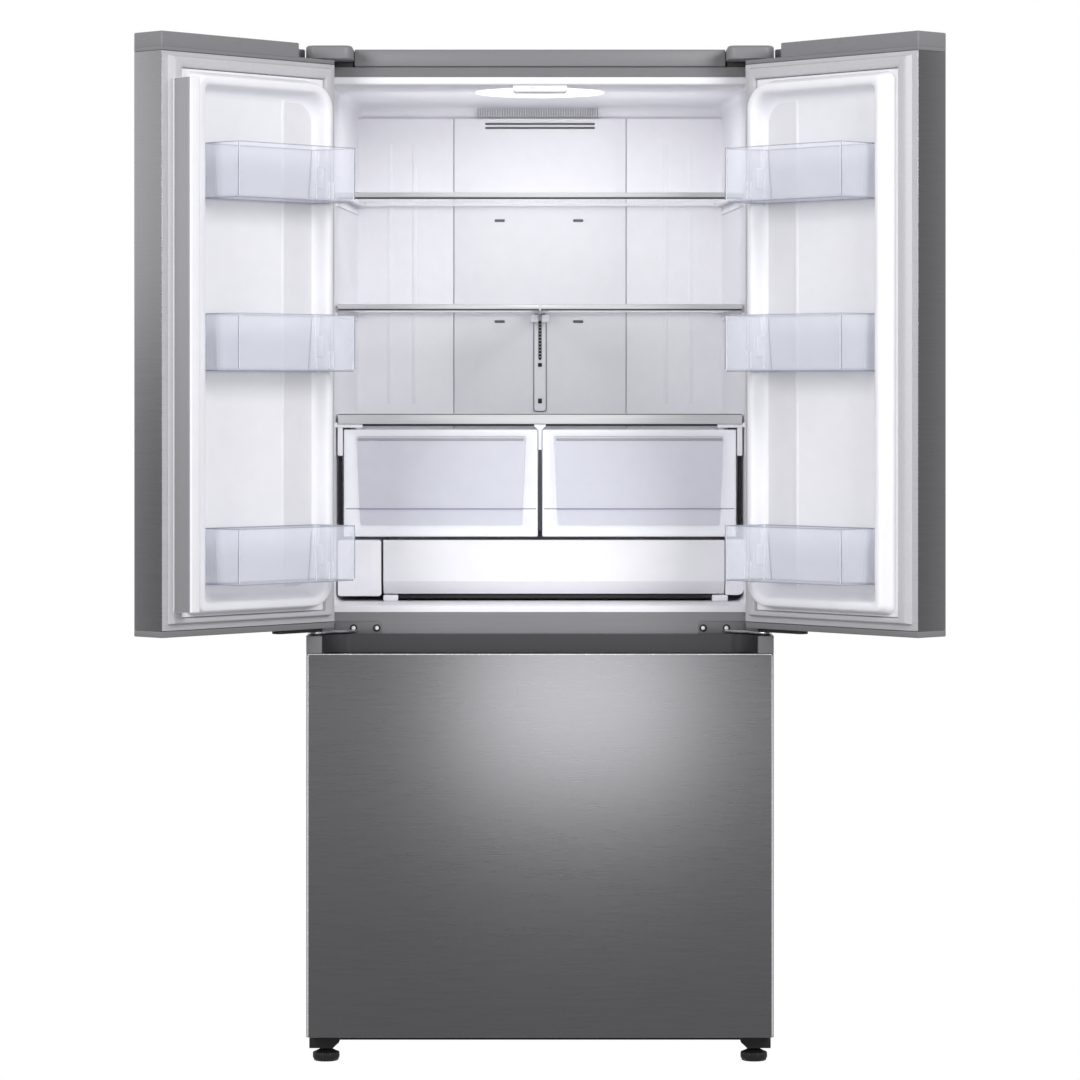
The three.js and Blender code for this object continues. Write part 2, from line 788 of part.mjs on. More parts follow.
// A stack of upright fins between two flat headers, with a pipe stub on one end.
function finBlock(x, y, z, count) {
  const pitch = (x[1] - x[0] - 2) / count;
  const header = 10;
  const fins = [];
  for (let i = 0; i <= count; i += 1) {
    const at = x[0] + i * pitch;
    fins.push(block([at, at + 2], y, [z[0] + header - 1, z[1] - header + 1]));
  }
  const headers = [[z[0], z[0] + header], [z[1] - header, z[1]]].map(
    (span) => block(x, [y[0] + 4, y[1] - 4], span),
  );
  const stub = rod('x', [(y[0] + y[1]) / 2, z[1] - 5], 4, [x[1] - 1, x[1] + 14], 8);
  return join(...headers, ...fins, stub);
}

function evaporator() {
  return finBlock([-250, 250], [536, 590], [330, 560], 12);
}

const EVAP_FAN = { x: 0, z: 640, y: [534, 560], radius: 60 };
const COND_FAN = { y: 560, z: 165, x: [-75, -45], radius: 75 };

function fan(radius, depth) {
  const hub = rod('z', [0, 0], 18, [0, depth], 16);
  const blades = [];
  const count = 5;
  for (let i = 0; i < count; i += 1) {
    const blade = new THREE.BoxGeometry(radius - 12, 34, 2.5);
    blade.rotateX(0.45).translate(12 + (radius - 12) / 2, 0, depth / 2);
    blade.rotateZ((i * 2 * Math.PI) / count);
    blades.push(solid(blade));
  }
  return join(hub, ...blades);
}

// ---------- machine space and base ----------
function baseFrame() {
  const floor = block([-HALF + 3, HALF - 3], [CASE_FRONT + 12, CASE_BACK - 6], [50, 54]);
  const beam = block([-HALF + 3, HALF - 3], [CASE_FRONT + 4, CASE_FRONT + 16], [30, 60]);
  const bracket = facing(polygon([
    [403, 24],
    [403, 46.5],
    [347, 46.5],
    [352, 34],
    [362, 24],
  ]), [FOOT_Y - 23, CASE_FRONT + 16]);
  const ear = block([326, 330], [ROLLER_Y - 14, ROLLER_Y + 14], [12, 52]);
  const shaftHole = rod('x', [ROLLER_Y, ROLLER_RADIUS], 6.5, [-HALF, HALF], 16);
  const footHole = rod('z', [FOOT_X, FOOT_Y], 7, [0, 70], 16);
  const body = join(floor, beam, bothSides(bracket), bothSides(ear));
  return cut(body, shaftHole, footHole, mirrored(footHole));
}

function foot(x) {
  return join(
    rod('z', [x, FOOT_Y], FOOT_RADIUS - 2, [0, 4], 24, FOOT_RADIUS),
    rod('z', [x, FOOT_Y], FOOT_RADIUS, [3.9, 16], 24),
    rod('z', [x, FOOT_Y], FOOT_RADIUS, [15.9, 21], 24, 12),
    rod('z', [x, FOOT_Y], 6, [18, 46], 16),
  );
}

function rearRollers() {
  const wheel = rod('x', [ROLLER_Y, ROLLER_RADIUS], ROLLER_RADIUS, [336, 362], 32);
  const shaft = rod('x', [ROLLER_Y, ROLLER_RADIUS], 5.5, [-350, 350], 16);
  return join(shaft, bothSides(wheel));
}

function compressor() {
  const profile = [
    [0, 68], [84, 68], [90, 80], [90, 170], [74, 205], [40, 222], [0, 226],
  ].map(([r, z]) => new THREE.Vector2(r, z));
  const shell = new THREE.LatheGeometry(profile, 24);
  shell.rotateX(Math.PI / 2).translate(190, 560, 0);
  const body = solid(shell);
  const feet = block([105, 275], [475, 645], [60, 72]);
  const legs = [];
  for (const x of [115, 265]) {
    for (const y of [485, 635]) {
      legs.push(rod('z', [x, y], 8, [54 + GAP, 61], 12));
    }
  }
  const terminals = block([260, 292], [540, 585], [110, 170]);
  return join(body, feet, terminals, ...legs);
}

function condenser() {
  return finBlock([-350, -110], [470, 650], [72, 250], 10);
}

function machineCover() {
  const half = HALF - STEEL - GAP;
  const plate = block([-half, half], [CASE_BACK - STEEL, CASE_BACK], [56, STEP_TOP - 1]);
  const slots = [];
  for (let row = 0; row < 6; row += 1) {
    for (const x of [-300, -180, 180, 300]) {
      const z = 100 + row * 28;
      slots.push(block([x - 45, x + 45], [600, 700], [z, z + 8]));
    }
  }
  return cut(plate, ...slots);
}

// ---------- assembly ----------
function cabinet() {
  const group = new THREE.Group();
  addPiece(group, 'cabinet_wrapper', cabinetWrapper(), caseGrey);
  addPiece(group, 'back_panel', backPanel(), zinc);
  addPiece(group, 'foam_core', foamCore(), foam);
  addPiece(group, 'fresh_liner', freshLiner(), white);
  addPiece(group, 'freezer_liner', freezerLiner(), white);
  addPiece(group, 'mullion_beam', mullionBeam(), steelGrey);
  addPiece(group, 'top_cap', topCap(), capGrey);
  addPiece(group, 'hinge_cover_left', mirrored(hingeCover()), capGrey);
  addPiece(group, 'hinge_cover_right', hingeCover(), capGrey);
  addPiece(group, 'top_hinge_left', mirrored(topHinge()), zinc);
  addPiece(group, 'top_hinge_right', topHinge(), zinc);
  addPiece(group, 'mid_hinge_left', mirrored(midHinge()), zinc);
  addPiece(group, 'mid_hinge_right', midHinge(), zinc);
  addPiece(group, 'duct_cover', ductCover(), white);
  addPiece(group, 'mullion_guide', mullionGuide(), white);
  addPiece(group, 'lamp_lens', lampLens(), clear);
  const leftSide = (y) => -shelfHalf(y);
  addPiece(group, 'upper_shelf', shelf(leftSide, shelfHalf, UPPER_SHELF), glass);
  addPiece(group, 'middle_shelf_left', shelf(leftSide, () => -1, MIDDLE_SHELF), glass);
  addPiece(group, 'middle_shelf_right', shelf(() => 1, shelfHalf, MIDDLE_SHELF), glass);
  addPiece(group, 'crisper_cover', crisperCover(), glass);
  addPiece(group, 'filter_cover', filterCover(), white);
  addPiece(group, 'freezer_duct_cover', freezerDuctCover(), white);
  addPiece(group, 'evaporator', evaporator(), aluminium);
  addPiece(group, 'base_frame', baseFrame(), black);
  addPiece(group, 'compressor', compressor(), black);
  addPiece(group, 'condenser', condenser(), aluminium);
  addPiece(group, 'machine_cover', machineCover(), zinc);
  addPiece(group, 'foot_left', foot(-FOOT_X), black);
  addPiece(group, 'foot_right', foot(FOOT_X), black);
  addPiece(group, 'rear_rollers', rearRollers(), black);
  return group;
}

function fans() {
  const group = new THREE.Group();
  const evapDepth = EVAP_FAN.y[1] - EVAP_FAN.y[0];
  addPiece(group, 'evaporator_fan', fan(EVAP_FAN.radius, evapDepth), black);
  group.children[0].rotation.x = -Math.PI / 2;
  group.children[0].position.set(EVAP_FAN.x, EVAP_FAN.y[0], EVAP_FAN.z);
  const condDepth = COND_FAN.x[1] - COND_FAN.x[0];
  addPiece(group, 'condenser_fan', fan(COND_FAN.radius, condDepth), black);
  group.children[1].rotation.y = Math.PI / 2;
  group.children[1].position.set(COND_FAN.x[0], COND_FAN.y, COND_FAN.z);
  return group;
}

const BIN_LEVELS = { upper: [1496, 1590], middle: [1206, 1303], lower: [847, 942] };

// A door on its pin: side is -1 for the left door, 1 for the right.
function door(name, side) {
  const place = (body) => (side < 0 ? mirrored(body) : body);
  const leaf = new THREE.Group();
  leaf.position.set(-side * PIN_X, -PIN_Y, 0);
  addPiece(leaf, `${name}_door_panel`, place(doorPanel()), steelFront);
  addPiece(leaf, `${name}_door_top_cap`, place(doorTopCap()), capGrey);
  addPiece(leaf, `${name}_door_bottom_cap`, place(doorBottomCap()), capGrey);
  addPiece(leaf, `${name}_door_liner`, place(doorLiner()), white);
  addPiece(leaf, `${name}_door_gasket`, place(doorGasket()), gasketGrey);
  for (const [level, z] of Object.entries(BIN_LEVELS)) {
    addPiece(leaf, `${name}_bin_${level}`, place(doorBin(z)), clear);
  }
  if (side < 0) addPiece(leaf, 'mullion_flap', place(mullionFlap()), steelGrey);
  const pivot = new THREE.Group();
  pivot.add(leaf);
  pivot.rotation.z = side * OPEN_ANGLE;
  pivot.position.set(side * PIN_X, PIN_Y, 0);
  return pivot;
}

function drawers() {
  const group = new THREE.Group();
  addPiece(group, 'crisper_left', mirrored(crisper()), clear);
  addPiece(group, 'crisper_right', crisper(), clear);
  addPiece(group, 'pantry_drawer', pantryDrawer(), white);
  addPiece(group, 'freezer_front', freezerFront(), steelFront);
  addPiece(group, 'freezer_handle', freezerHandle(), handleGrey);
  addPiece(group, 'freezer_door_liner', freezerDoorLiner(), white);
  addPiece(group, 'freezer_gasket', freezerGasket(), gasketGrey);
  addPiece(group, 'freezer_basket', freezerBasket(), white);
  addPiece(group, 'freezer_upper_drawer', freezerUpperDrawer(), clear);
  addPiece(group, 'freezer_slide_left', mirrored(freezerSlide()), zinc);
  addPiece(group, 'freezer_slide_right', freezerSlide(), zinc);
  return group;
}

const fridge = new THREE.Group();
fridge.add(cabinet(), fans(), door('left', -1), door('right', 1), drawers());

// Put the middle of its box over the origin; the feet already stand at Z = 0.
const extent = new THREE.Box3().setFromObject(fridge, true);
fridge.position.y = -(extent.min.y + extent.max.y) / 2;
fridge.updateMatrixWorld(true);

export default fridge;
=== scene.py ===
"""The looks of a french door refrigerator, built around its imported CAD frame."""

import json
import math

import bmesh
import bpy
from mathutils import Matrix, Vector

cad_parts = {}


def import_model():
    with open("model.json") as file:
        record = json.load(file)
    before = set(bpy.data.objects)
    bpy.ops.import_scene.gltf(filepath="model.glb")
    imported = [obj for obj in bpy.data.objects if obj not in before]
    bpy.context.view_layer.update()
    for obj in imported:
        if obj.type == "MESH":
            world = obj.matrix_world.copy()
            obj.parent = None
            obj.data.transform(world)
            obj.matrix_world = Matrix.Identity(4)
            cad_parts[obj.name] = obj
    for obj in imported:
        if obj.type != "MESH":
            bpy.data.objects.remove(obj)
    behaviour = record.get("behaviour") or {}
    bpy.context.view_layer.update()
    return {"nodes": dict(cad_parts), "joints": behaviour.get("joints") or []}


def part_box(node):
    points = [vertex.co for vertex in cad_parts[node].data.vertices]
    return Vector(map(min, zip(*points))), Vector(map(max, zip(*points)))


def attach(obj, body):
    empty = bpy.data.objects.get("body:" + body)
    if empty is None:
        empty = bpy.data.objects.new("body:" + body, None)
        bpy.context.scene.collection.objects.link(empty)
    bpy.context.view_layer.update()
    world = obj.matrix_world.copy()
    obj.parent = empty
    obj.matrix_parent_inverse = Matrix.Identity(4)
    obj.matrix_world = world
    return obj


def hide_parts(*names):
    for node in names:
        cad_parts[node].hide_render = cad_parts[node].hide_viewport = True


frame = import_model()

# Lengths are millimetres in the frame of part.mjs: x from the middle plane, y from the outer face
# of the closed doors towards the back, z from the floor.
MM = 0.001
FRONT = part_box("freezer_front")[0].y / MM


def limits(node):
    """Low and high x, y and z of a CAD node, in millimetres."""
    low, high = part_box(node)
    shift = (0, FRONT, 0)
    return [(low[i] / MM - shift[i], high[i] / MM - shift[i]) for i in range(3)]


HALF = limits("cabinet_wrapper")[0][1]
CASE_FRONT = limits("cabinet_wrapper")[1][0]
FLANGE_HALF = limits("mullion_beam")[0][1]
SILL = limits("mullion_beam")[2][1]
BAND_BOTTOM = 1726  # the lower edge of the painted band over the fresh food room
# the fresh food room, whose side walls draw in towards the back
ROOM_FRONT_HALF = 374
ROOM_BACK_HALF = 343
ROOM_BACK = 600
ROOM_FLOOR = 796
ROOM_TOP = 1712
# the doors, and the upright axis that the right one swings on
DOOR_THICK = 72
DOOR_EDGE = 3.5
PIN = (395.8, 31.1)
JOINTS = {joint["name"]: joint for joint in frame["joints"]}
OPEN_ANGLE = math.radians(-JOINTS["right_door_hinge"]["range_deg"][0])



# ---------- outlines and solids ----------
def round_rect(u, v, radii, steps=6):
    """A rectangle with rounded corners: low-low, high-low, high-high, low-high."""
    radii = radii if isinstance(radii, (list, tuple)) else [radii] * 4
    most = min(u[1] - u[0], v[1] - v[0]) / 2 - 0.01
    points = []
    for corner, radius in enumerate(radii):
        r = max(min(radius, most), 0.02)
        high_u = corner in (1, 2)
        high_v = corner in (2, 3)
        cu = u[1] - r if high_u else u[0] + r
        cv = v[1] - r if high_v else v[0] + r
        for step in range(steps + 1):
            angle = math.radians(180 + 90 * corner + 90 * step / steps)
            points.append((cu + r * math.cos(angle), cv + r * math.sin(angle)))
    return points


def loop(axis, outline, at):
    """The outline's points in space, on the plane at a place along an axis."""
    if axis == "z":
        return [(u, v, at) for u, v in outline]
    if axis == "y":
        return [(u, at, v) for u, v in outline]
    return [(at, u, v) for u, v in outline]


def ring(axis, u, v, radii, at, steps=6):
    """The loop of a rounded rectangle."""
    return loop(axis, round_rect(u, v, radii, steps), at)


def loft(bm, loops, ends=True):
    """Skins loops of equal length; the two ends are capped, or joined to each other."""
    rings = [[bm.verts.new(point) for point in points] for points in loops]
    pairs = list(zip(rings, rings[1:]))
    if not ends:
        pairs.append((rings[-1], rings[0]))
    count = len(rings[0])
    for a, b in pairs:
        for i in range(count):
            j = (i + 1) % count
            bm.faces.new((a[i], a[j], b[j], b[i]))
    if ends:
        bm.faces.new(rings[0][::-1])
        bm.faces.new(rings[-1])


def prism(bm, axis, outline, span):
    loft(bm, [loop(axis, outline, span[0]), loop(axis, outline, span[1])])


def block(bm, x, y, z):
    prism(bm, "z", [(x[0], y[0]), (x[1], y[0]), (x[1], y[1]), (x[0], y[1])], z)


def grown(span, by):
    """A span made longer at both ends."""
    return (span[0] - by, span[1] + by)


def on_side(sign, near, far):
    """The x span from near to far, measured from the middle, on one side of it."""
    return sorted((sign * near, sign * far))


def rim(axis, u, v, radii, end, edge, steps):
    """The loops of a rounded rim, from the flat face at end inwards; edge is its signed radius."""
    turns = 3
    loops = []
    for k in range(turns + 1):
        angle = math.pi / 2 * k / turns
        inset = abs(edge) * (1 - math.sin(angle))
        corners = [max(r - inset, 0.3) for r in radii]
        outline = round_rect(grown(u, -inset), grown(v, -inset), corners, steps)
        loops.append(loop(axis, outline, end + edge * (1 - math.cos(angle))))
    return loops


def pillow(bm, axis, u, v, span, radii, edge, steps=6):
    """A rounded plate whose two flat faces have rounded rims of radius edge."""
    radii = radii if isinstance(radii, (list, tuple)) else [radii] * 4
    loft(bm, rim(axis, u, v, radii, span[0], edge, steps)
         + rim(axis, u, v, radii, span[1], -edge, steps)[::-1])


def solid(make, *shape, **options):
    """A new bmesh with one solid in it."""
    bm = bmesh.new()
    make(bm, *shape, **options)
    return bm


def lathe(bm, axis, centre, profile, steps=32):
    """Turns (radius, place along the axis) pairs about a centre."""
    loops = []
    for radius, at in profile:
        circle = [
            (
                centre[0] + radius * math.cos(2 * math.pi * i / steps),
                centre[1] + radius * math.sin(2 * math.pi * i / steps),
            )
            for i in range(steps)
        ]
        loops.append(loop(axis, circle, at))
    loft(bm, loops)


def blended(a, b, t):
    """The outline part of the way from one outline to another of equal length."""
    return [(p[0] * (1 - t) + q[0] * t, p[1] * (1 - t) + q[1] * t) for p, q in zip(a, b)]


def tray(bm, outer, inner, z, floor):
    """An open tray from two outlines of equal length, with a rounded lip."""
    lip = 0.8
    loft(bm, [
        loop("z", outer, z[0]),
        loop("z", outer, z[1] - lip),
        loop("z", blended(outer, inner, 0.3), z[1]),
        loop("z", blended(outer, inner, 0.7), z[1]),
        loop("z", inner, z[1] - lip),
        loop("z", inner, z[0] + floor),
    ])


def soften(bm, width, segments=2, angle=30):
    """Rounds every edge that is sharper than an angle."""
    bmesh.ops.remove_doubles(bm, verts=bm.verts, dist=0.001)
    bmesh.ops.recalc_face_normals(bm, faces=bm.faces)
    edges = [
        edge for edge in bm.edges
        if len(edge.link_faces) == 2 and edge.calc_face_angle(0) > math.radians(angle)
    ]
    bmesh.ops.bevel(
        bm, geom=edges, offset=width, segments=segments, profile=0.5,
        affect="EDGES", clamp_overlap=True,
    )


def side_name(side):
    return "left" if side < 0 else "right"


def settle(side):
    """The move from the closed right door's millimetres to the frame, for a side or none."""
    to_frame = Matrix.Diagonal((MM, MM, MM, 1)) @ Matrix.Translation((0, FRONT, 0))
    if not side:
        return to_frame
    pin = Matrix.Translation((PIN[0], PIN[1], 0))
    opened = pin @ Matrix.Rotation(OPEN_ANGLE, 4, "Z") @ pin.inverted()
    mirror = Matrix.Diagonal((side, 1, 1, 1))
    return to_frame @ mirror @ opened


def mirror_move(side):
    """The move of a cabinet piece that is made on the right, for either side."""
    return settle(0) @ Matrix.Diagonal((side, 1, 1, 1))


# faces that meet at less than this many degrees look like one curved face
SMOOTH = 32


def piece(name, bm, material, body="cabinet", replaces=(), move=None, smooth=SMOOTH, slot=None):
    """Turns a bmesh into a finished piece that rides on a body; the slot is looked up from its finish but
    not given to the piece.
    """
    move = move or settle(0)
    slot = slot or SLOTS[material.name]
    bmesh.ops.remove_doubles(bm, verts=bm.verts, dist=0.0005)
    bm.transform(move)
    bmesh.ops.recalc_face_normals(bm, faces=bm.faces)
    mesh = bpy.data.meshes.new(name)
    bm.to_mesh(mesh)
    bm.free()
    mesh.polygons.foreach_set("use_smooth", [True] * len(mesh.polygons))
    mesh.set_sharp_from_angle(angle=math.radians(smooth))
    mesh.materials.append(material)
    obj = bpy.data.objects.new(name, mesh)
    bpy.context.scene.collection.objects.link(obj)
    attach(obj, body)
    if replaces:
        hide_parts(*replaces)
    return obj


def carve(base, fill, move=None):
    """Cuts the solids that fill() makes out of a finished piece."""
    bm = bmesh.new()
    fill(bm)
    bm.transform(move or settle(0))
    bmesh.ops.recalc_face_normals(bm, faces=bm.faces)
    mesh = bpy.data.meshes.new("cutter")
    bm.to_mesh(mesh)
    bm.free()
    cutter = bpy.data.objects.new("cutter", mesh)
    bpy.context.scene.collection.objects.link(cutter)
    modifier = base.modifiers.new("carve", "BOOLEAN")
    modifier.operation = "DIFFERENCE"
    modifier.solver = "EXACT"
    modifier.object = cutter
    bpy.context.view_layer.update()
    depsgraph = bpy.context.evaluated_depsgraph_get()
    result = bpy.data.meshes.new_from_object(base.evaluated_get(depsgraph))
    base.modifiers.clear()
    base.data = result
    result.set_sharp_from_angle(angle=math.radians(SMOOTH))
    bpy.data.objects.remove(cutter)


# ---------- materials ----------
SLOTS = {}


def feed(tree, node, **inputs):
    """Gives a shader node's inputs their values, or links them to other nodes' outputs."""
    for name, value in inputs.items():
        socket = node.inputs[name.replace("_", " ")]
        if isinstance(value, bpy.types.NodeSocket):
            tree.links.new(value, socket)
        else:
            socket.default_value = value
    return node


def add(tree, kind, **inputs):
    return feed(tree, tree.nodes.new(f"ShaderNode{kind}"), **inputs)


def noise(tree, scale, detail):
    """A noise over the object's own coordinates, stretched by a scale for each axis."""
    place = add(tree, "TexCoord").outputs["Object"]
    stretched = add(tree, "Mapping", Scale=scale, Vector=place).outputs["Vector"]
    return add(tree, "TexNoise", Scale=1.0, Detail=detail, Vector=stretched).outputs["Fac"]


def ranged(tree, value, source, target):
    """Maps a value from one range to another and holds it at the ends."""
    (a, b), (c, d) = source, target
    node = add(tree, "MapRange", Value=value, From_Min=a, From_Max=b, To_Min=c, To_Max=d)
    return node.outputs["Result"]


def ramp(tree, value, stops):
    """Turns a value into a colour; the stops are places and colours."""
    node = add(tree, "ValToRGB", Fac=value)
    elements = node.color_ramp.elements
    while len(elements) < len(stops):
        elements.new(0.5)
    for element, (at, colour) in zip(elements, stops):
        element.position = at
        element.color = (*colour, 1)
    return node.outputs["Color"]


def each_axis(value):
    return value if isinstance(value, tuple) else (value, value, value)


# the part of a noise's values that spans a finish from its low to its high colour and roughness
NOISE_SPAN = (0.3, 0.7)
RELIEF_DEPTH = 0.0004  # metres


def finish(name, slot, colour, rough, vary, grain, bump, metal=0.0, detail=2, fine=None, **inputs):
    """A moulded, painted or brushed finish: colour and roughness vary with a noise of a coarse
    grain, and the relief with one of a fine grain. Finishes of CAD nodes need no slot."""
    material = bpy.data.materials.new(name)
    SLOTS[material.name] = slot
    material.use_nodes = True
    tree = material.node_tree
    grain = each_axis(grain)
    fine = each_axis(fine) if fine else tuple(4 * g for g in grain)
    value = noise(tree, grain, detail)
    low = [c * (1 - vary) for c in colour]
    high = [min(c * (1 + vary), 1) for c in colour]
    shader = feed(
        tree, tree.nodes["Principled BSDF"], Metallic=metal,
        Base_Color=ramp(tree, value, [(NOISE_SPAN[0], low), (NOISE_SPAN[1], high)]),
        Roughness=ranged(tree, value, NOISE_SPAN, rough), **inputs,
    )
    if bump:
        relief = add(tree, "Bump", Strength=bump, Distance=RELIEF_DEPTH, Height=noise(tree, fine, 2))
        feed(tree, shader, Normal=relief.outputs["Normal"])
    return material


def see_through(name, colour, rough, vary, bump, alpha):
    """A clear or milky plastic of the bins and drawers."""
    return finish(name, "clear_plastic", colour, rough, vary, 30, bump, fine=160, Alpha=alpha)


BRUSH = (14, 14, 420)
STEEL = finish("brushed_stainless", "stainless_front", (0.28, 0.278, 0.29), (0.272, 0.286), 0.02, BRUSH,
               0, metal=1.0, detail=1, Anisotropic=0.6, Anisotropic_Rotation=0.25)
STEEL_RETURN = finish("brushed_return", "stainless_front", (0.54, 0.538, 0.56), (0.38, 0.5), 0.03,
                      BRUSH, 0.04, metal=0.3, detail=3, fine=(40, 40, 1600))
CAP = finish("cap_grey", "cap_plastic", (0.20, 0.198, 0.21), (0.42, 0.52), 0.04, 900, 0.08)
CASE = finish("case_paint", "case_grey", (0.175, 0.174, 0.184), (0.36, 0.46), 0.05, 700, 0.2, metal=0.25)
FLANGE = finish("flange_steel", None, (0.235, 0.233, 0.247), (0.34, 0.42), 0.05, (8, 900, 900), 0.06,
                metal=0.5)
FLAP = finish("flap_metal", "flange_grey", (0.32, 0.318, 0.335), (0.38, 0.46), 0.04, (8, 900, 900), 0.04,
              metal=0.3)
HANDLE = finish("handle_plastic", "handle_dark", (0.035, 0.035, 0.038), (0.28, 0.36), 0.06, 500, 0.05)
WHITE = finish("white_plastic", "liner_white", (0.83, 0.825, 0.865), (0.3, 0.42), 0.012, 35, 0.03,
               detail=3, fine=900)
# a darker copy of the liner white: painted shade for the band beside the door liner's rib
SHADED_LINER_WHITE = finish("satin_plastic", "liner_white", (0.72, 0.715, 0.75), (0.35, 0.45), 0.012, 35, 0.03,
               detail=3, fine=900)
TRIM = finish("shelf_trim", "shelf_glass", (0.62, 0.625, 0.64), (0.3, 0.4), 0.03, (8, 300, 300), 0.04,
              metal=0.1)
TRIM_DARK = finish("shaded_plastic", "clear_plastic", (0.36, 0.365, 0.40), (0.3, 0.4), 0.03, 30, 0.03)
# dark grey for painted shade: round the shelf track, under the shelf trims and on the crisper web
SHADE_DARK = finish("dark_trim", "case_grey", (0.055, 0.055, 0.06), (0.35, 0.45), 0.05, (8, 300, 300), 0.05,
              metal=0.3)
CLEAR = see_through("clear_plastic", (0.88, 0.905, 1.0), (0.1, 0.18), 0.02, 0.02, 0.24)
CLEAR_EDGE = see_through("clear_plastic_rim", (0.38, 0.40, 0.50), (0.12, 0.2), 0.03, 0.02, 0.6)
CLEAR_GLINT = see_through("clear_plastic_glint", (0.92, 0.94, 1.0), (0.12, 0.2), 0.02, 0.02, 0.8)
MILKY = see_through("crisper_plastic", (0.87, 0.885, 0.98), (0.14, 0.24), 0.02, 0.03, 0.6)
MILKY_BRIGHT = see_through("crisper_frame", (0.93, 0.94, 1.0), (0.14, 0.24), 0.015, 0.03, 0.88)
GLASS = finish("shelf_glass", "shelf_glass", (0.40, 0.42, 0.43), (0.03, 0.07), 0.02, 20, 0, Alpha=0.12)
LENS = finish("lamp_lens", "lens", (0.93, 0.94, 0.96), (0.3, 0.4), 0.01, 90, 0.03,
              Emission_Color=(1, 1, 1, 1), Emission_Strength=1.1)
GASKET = finish("gasket_vinyl", "gasket_grey", (0.50, 0.498, 0.52), (0.5, 0.62), 0.03, 200, 0.05, detail=3)
HINGE = finish("hinge_zinc", "hinge_steel", (0.55, 0.55, 0.56), (0.16, 0.28), 0.08, 120, 0.05,
               metal=1.0, detail=3)
BOLT = finish("polished_zinc", "hinge_steel", (0.85, 0.85, 0.87), (0.2, 0.3), 0.04, 120, 0.03,
              metal=0.4, detail=3)
ZINC = finish("zinc_sheet", None, (0.50, 0.51, 0.52), (0.3, 0.5), 0.12, 45, 0.06, metal=0.85, detail=4)
FIN = finish("aluminium", None, (0.62, 0.63, 0.64), (0.25, 0.4), 0.06, (100, 100, 600), 0.05,
             metal=1.0, detail=3)
BLACK = finish("black_plastic", "chassis_black", (0.012, 0.012, 0.013), (0.4, 0.55), 0.2, 600, 0.1)
FOAM = finish("foam", None, (0.78, 0.66, 0.38), (0.8, 0.95), 0.1, 150, 0.4, detail=4)


# ---------- cabinet ----------
def room_half(y):
    slope = (ROOM_FRONT_HALF - ROOM_BACK_HALF) / (ROOM_BACK - CASE_FRONT)
    return ROOM_FRONT_HALF - slope * (y - CASE_FRONT)


def room_skin(bm):
    """The moulded walls as one skin: back wall outside, walls, flange, walls inside, curved back."""
    wall = 2.5
    cove = 28

    def section(y, grow, radius):
        half = room_half(y) + grow
        return ring("y", (-half, half), (ROOM_FLOOR - grow, ROOM_TOP + grow), radius, y)

    flange = (-FLANGE_HALF, FLANGE_HALF)
    flange_z = (SILL + 0.3, BAND_BOTTOM - 0.3)
    loops = [
        section(ROOM_BACK + wall, wall, 14),
        section(CASE_FRONT + wall, wall, 14),
        ring("y", flange, flange_z, 3, CASE_FRONT + wall),
        ring("y", flange, flange_z, 3, CASE_FRONT + 0.6),
        ring("y", grown(flange, -0.8), grown(flange_z, -0.8), 3, CASE_FRONT),
    ]
    for inset, y in ((-5, 0), (-2.2, 0.6), (-0.6, 2.2), (0, 5)):
        loops.append(section(CASE_FRONT + y, -inset, 12 - inset))
    loops.append(section(250, 0, 13))
    loops.append(section(ROOM_BACK - cove, 0, 16))
    for k in range(1, 7):
        angle = math.pi / 2 * k / 6
        y = ROOM_BACK - cove + cove * math.sin(angle)
        drop = cove * (1 - math.cos(angle))
        side = 7 * (1 - math.cos(angle))
        half = room_half(y) - side
        loops.append(ring("y", (-half, half), (ROOM_FLOOR + side, ROOM_TOP - drop), max(16 - side, 4), y))
    loft(bm, loops)


def room_ribs(bm):
    """The back wall's raised fields and ribs, and the ledges that carry the shelves."""
    front = DUCT_FRONT + 0.6
    for side in (-1, 1):
        x = on_side(side, DUCT_HALF + 1.2, ROOM_BACK_HALF + 2)
        pillow(bm, "y", x, (DUCT_BOTTOM, DUCT_TOP), (front, ROOM_BACK + 1), 3, 1.2, 3)
    for x in (-283, -237, 237, 283):
        pillow(bm, "y", (x - 4, x + 4), (1150, 1640), (front - 0.7, front + 1), 3.4, 0.6, 4)
    for top in (UPPER_SHELF, MIDDLE_SHELF, CRISPER_LID):
        for side in (-1, 1):
            ledge = []
            for y in (CASE_FRONT + 125, 330, ROOM_BACK - 30):
                x = on_side(side, room_half(y) - 3.6, room_half(y) + 1)
                ledge.append(ring("y", x, (top - 24, top - 15.5), 1.5, y, 2))
            loft(bm, ledge)


def fresh_liner():
    bm = bmesh.new()
    room_skin(bm)
    room_ribs(bm)
    piece("fresh_room_liner", bm, WHITE, replaces=["fresh_liner"])


def cove_grille():
    """Fine upright slots in the curve over the back wall."""
    bm = bmesh.new()
    x = -120.0
    while x < 112:
        block(bm, (x, x + 1.5), (ROOM_BACK - 21, ROOM_BACK - 3.2), (1691, 1706))
        x += 4.6
    piece("cove_grille", bm, WHITE)


def top_cap():
    bm = bmesh.new()
    x, y, z = limits("top_cap")
    profile = [
        (y[0], z[0] + 1.5), (y[0] + 5, z[0]), (y[1], z[0]), (y[1], z[0] + 11), (y[1] - 20, z[1]),
        (y[0] + 3.5, z[1]), (y[0] + 1, z[1] - 1), (y[0], z[1] - 3.5),
    ]
    prism(bm, "x", profile, x)
    soften(bm, 0.8, 2, 40)
    piece("top_front_cap", bm, CAP, replaces=["top_cap"])


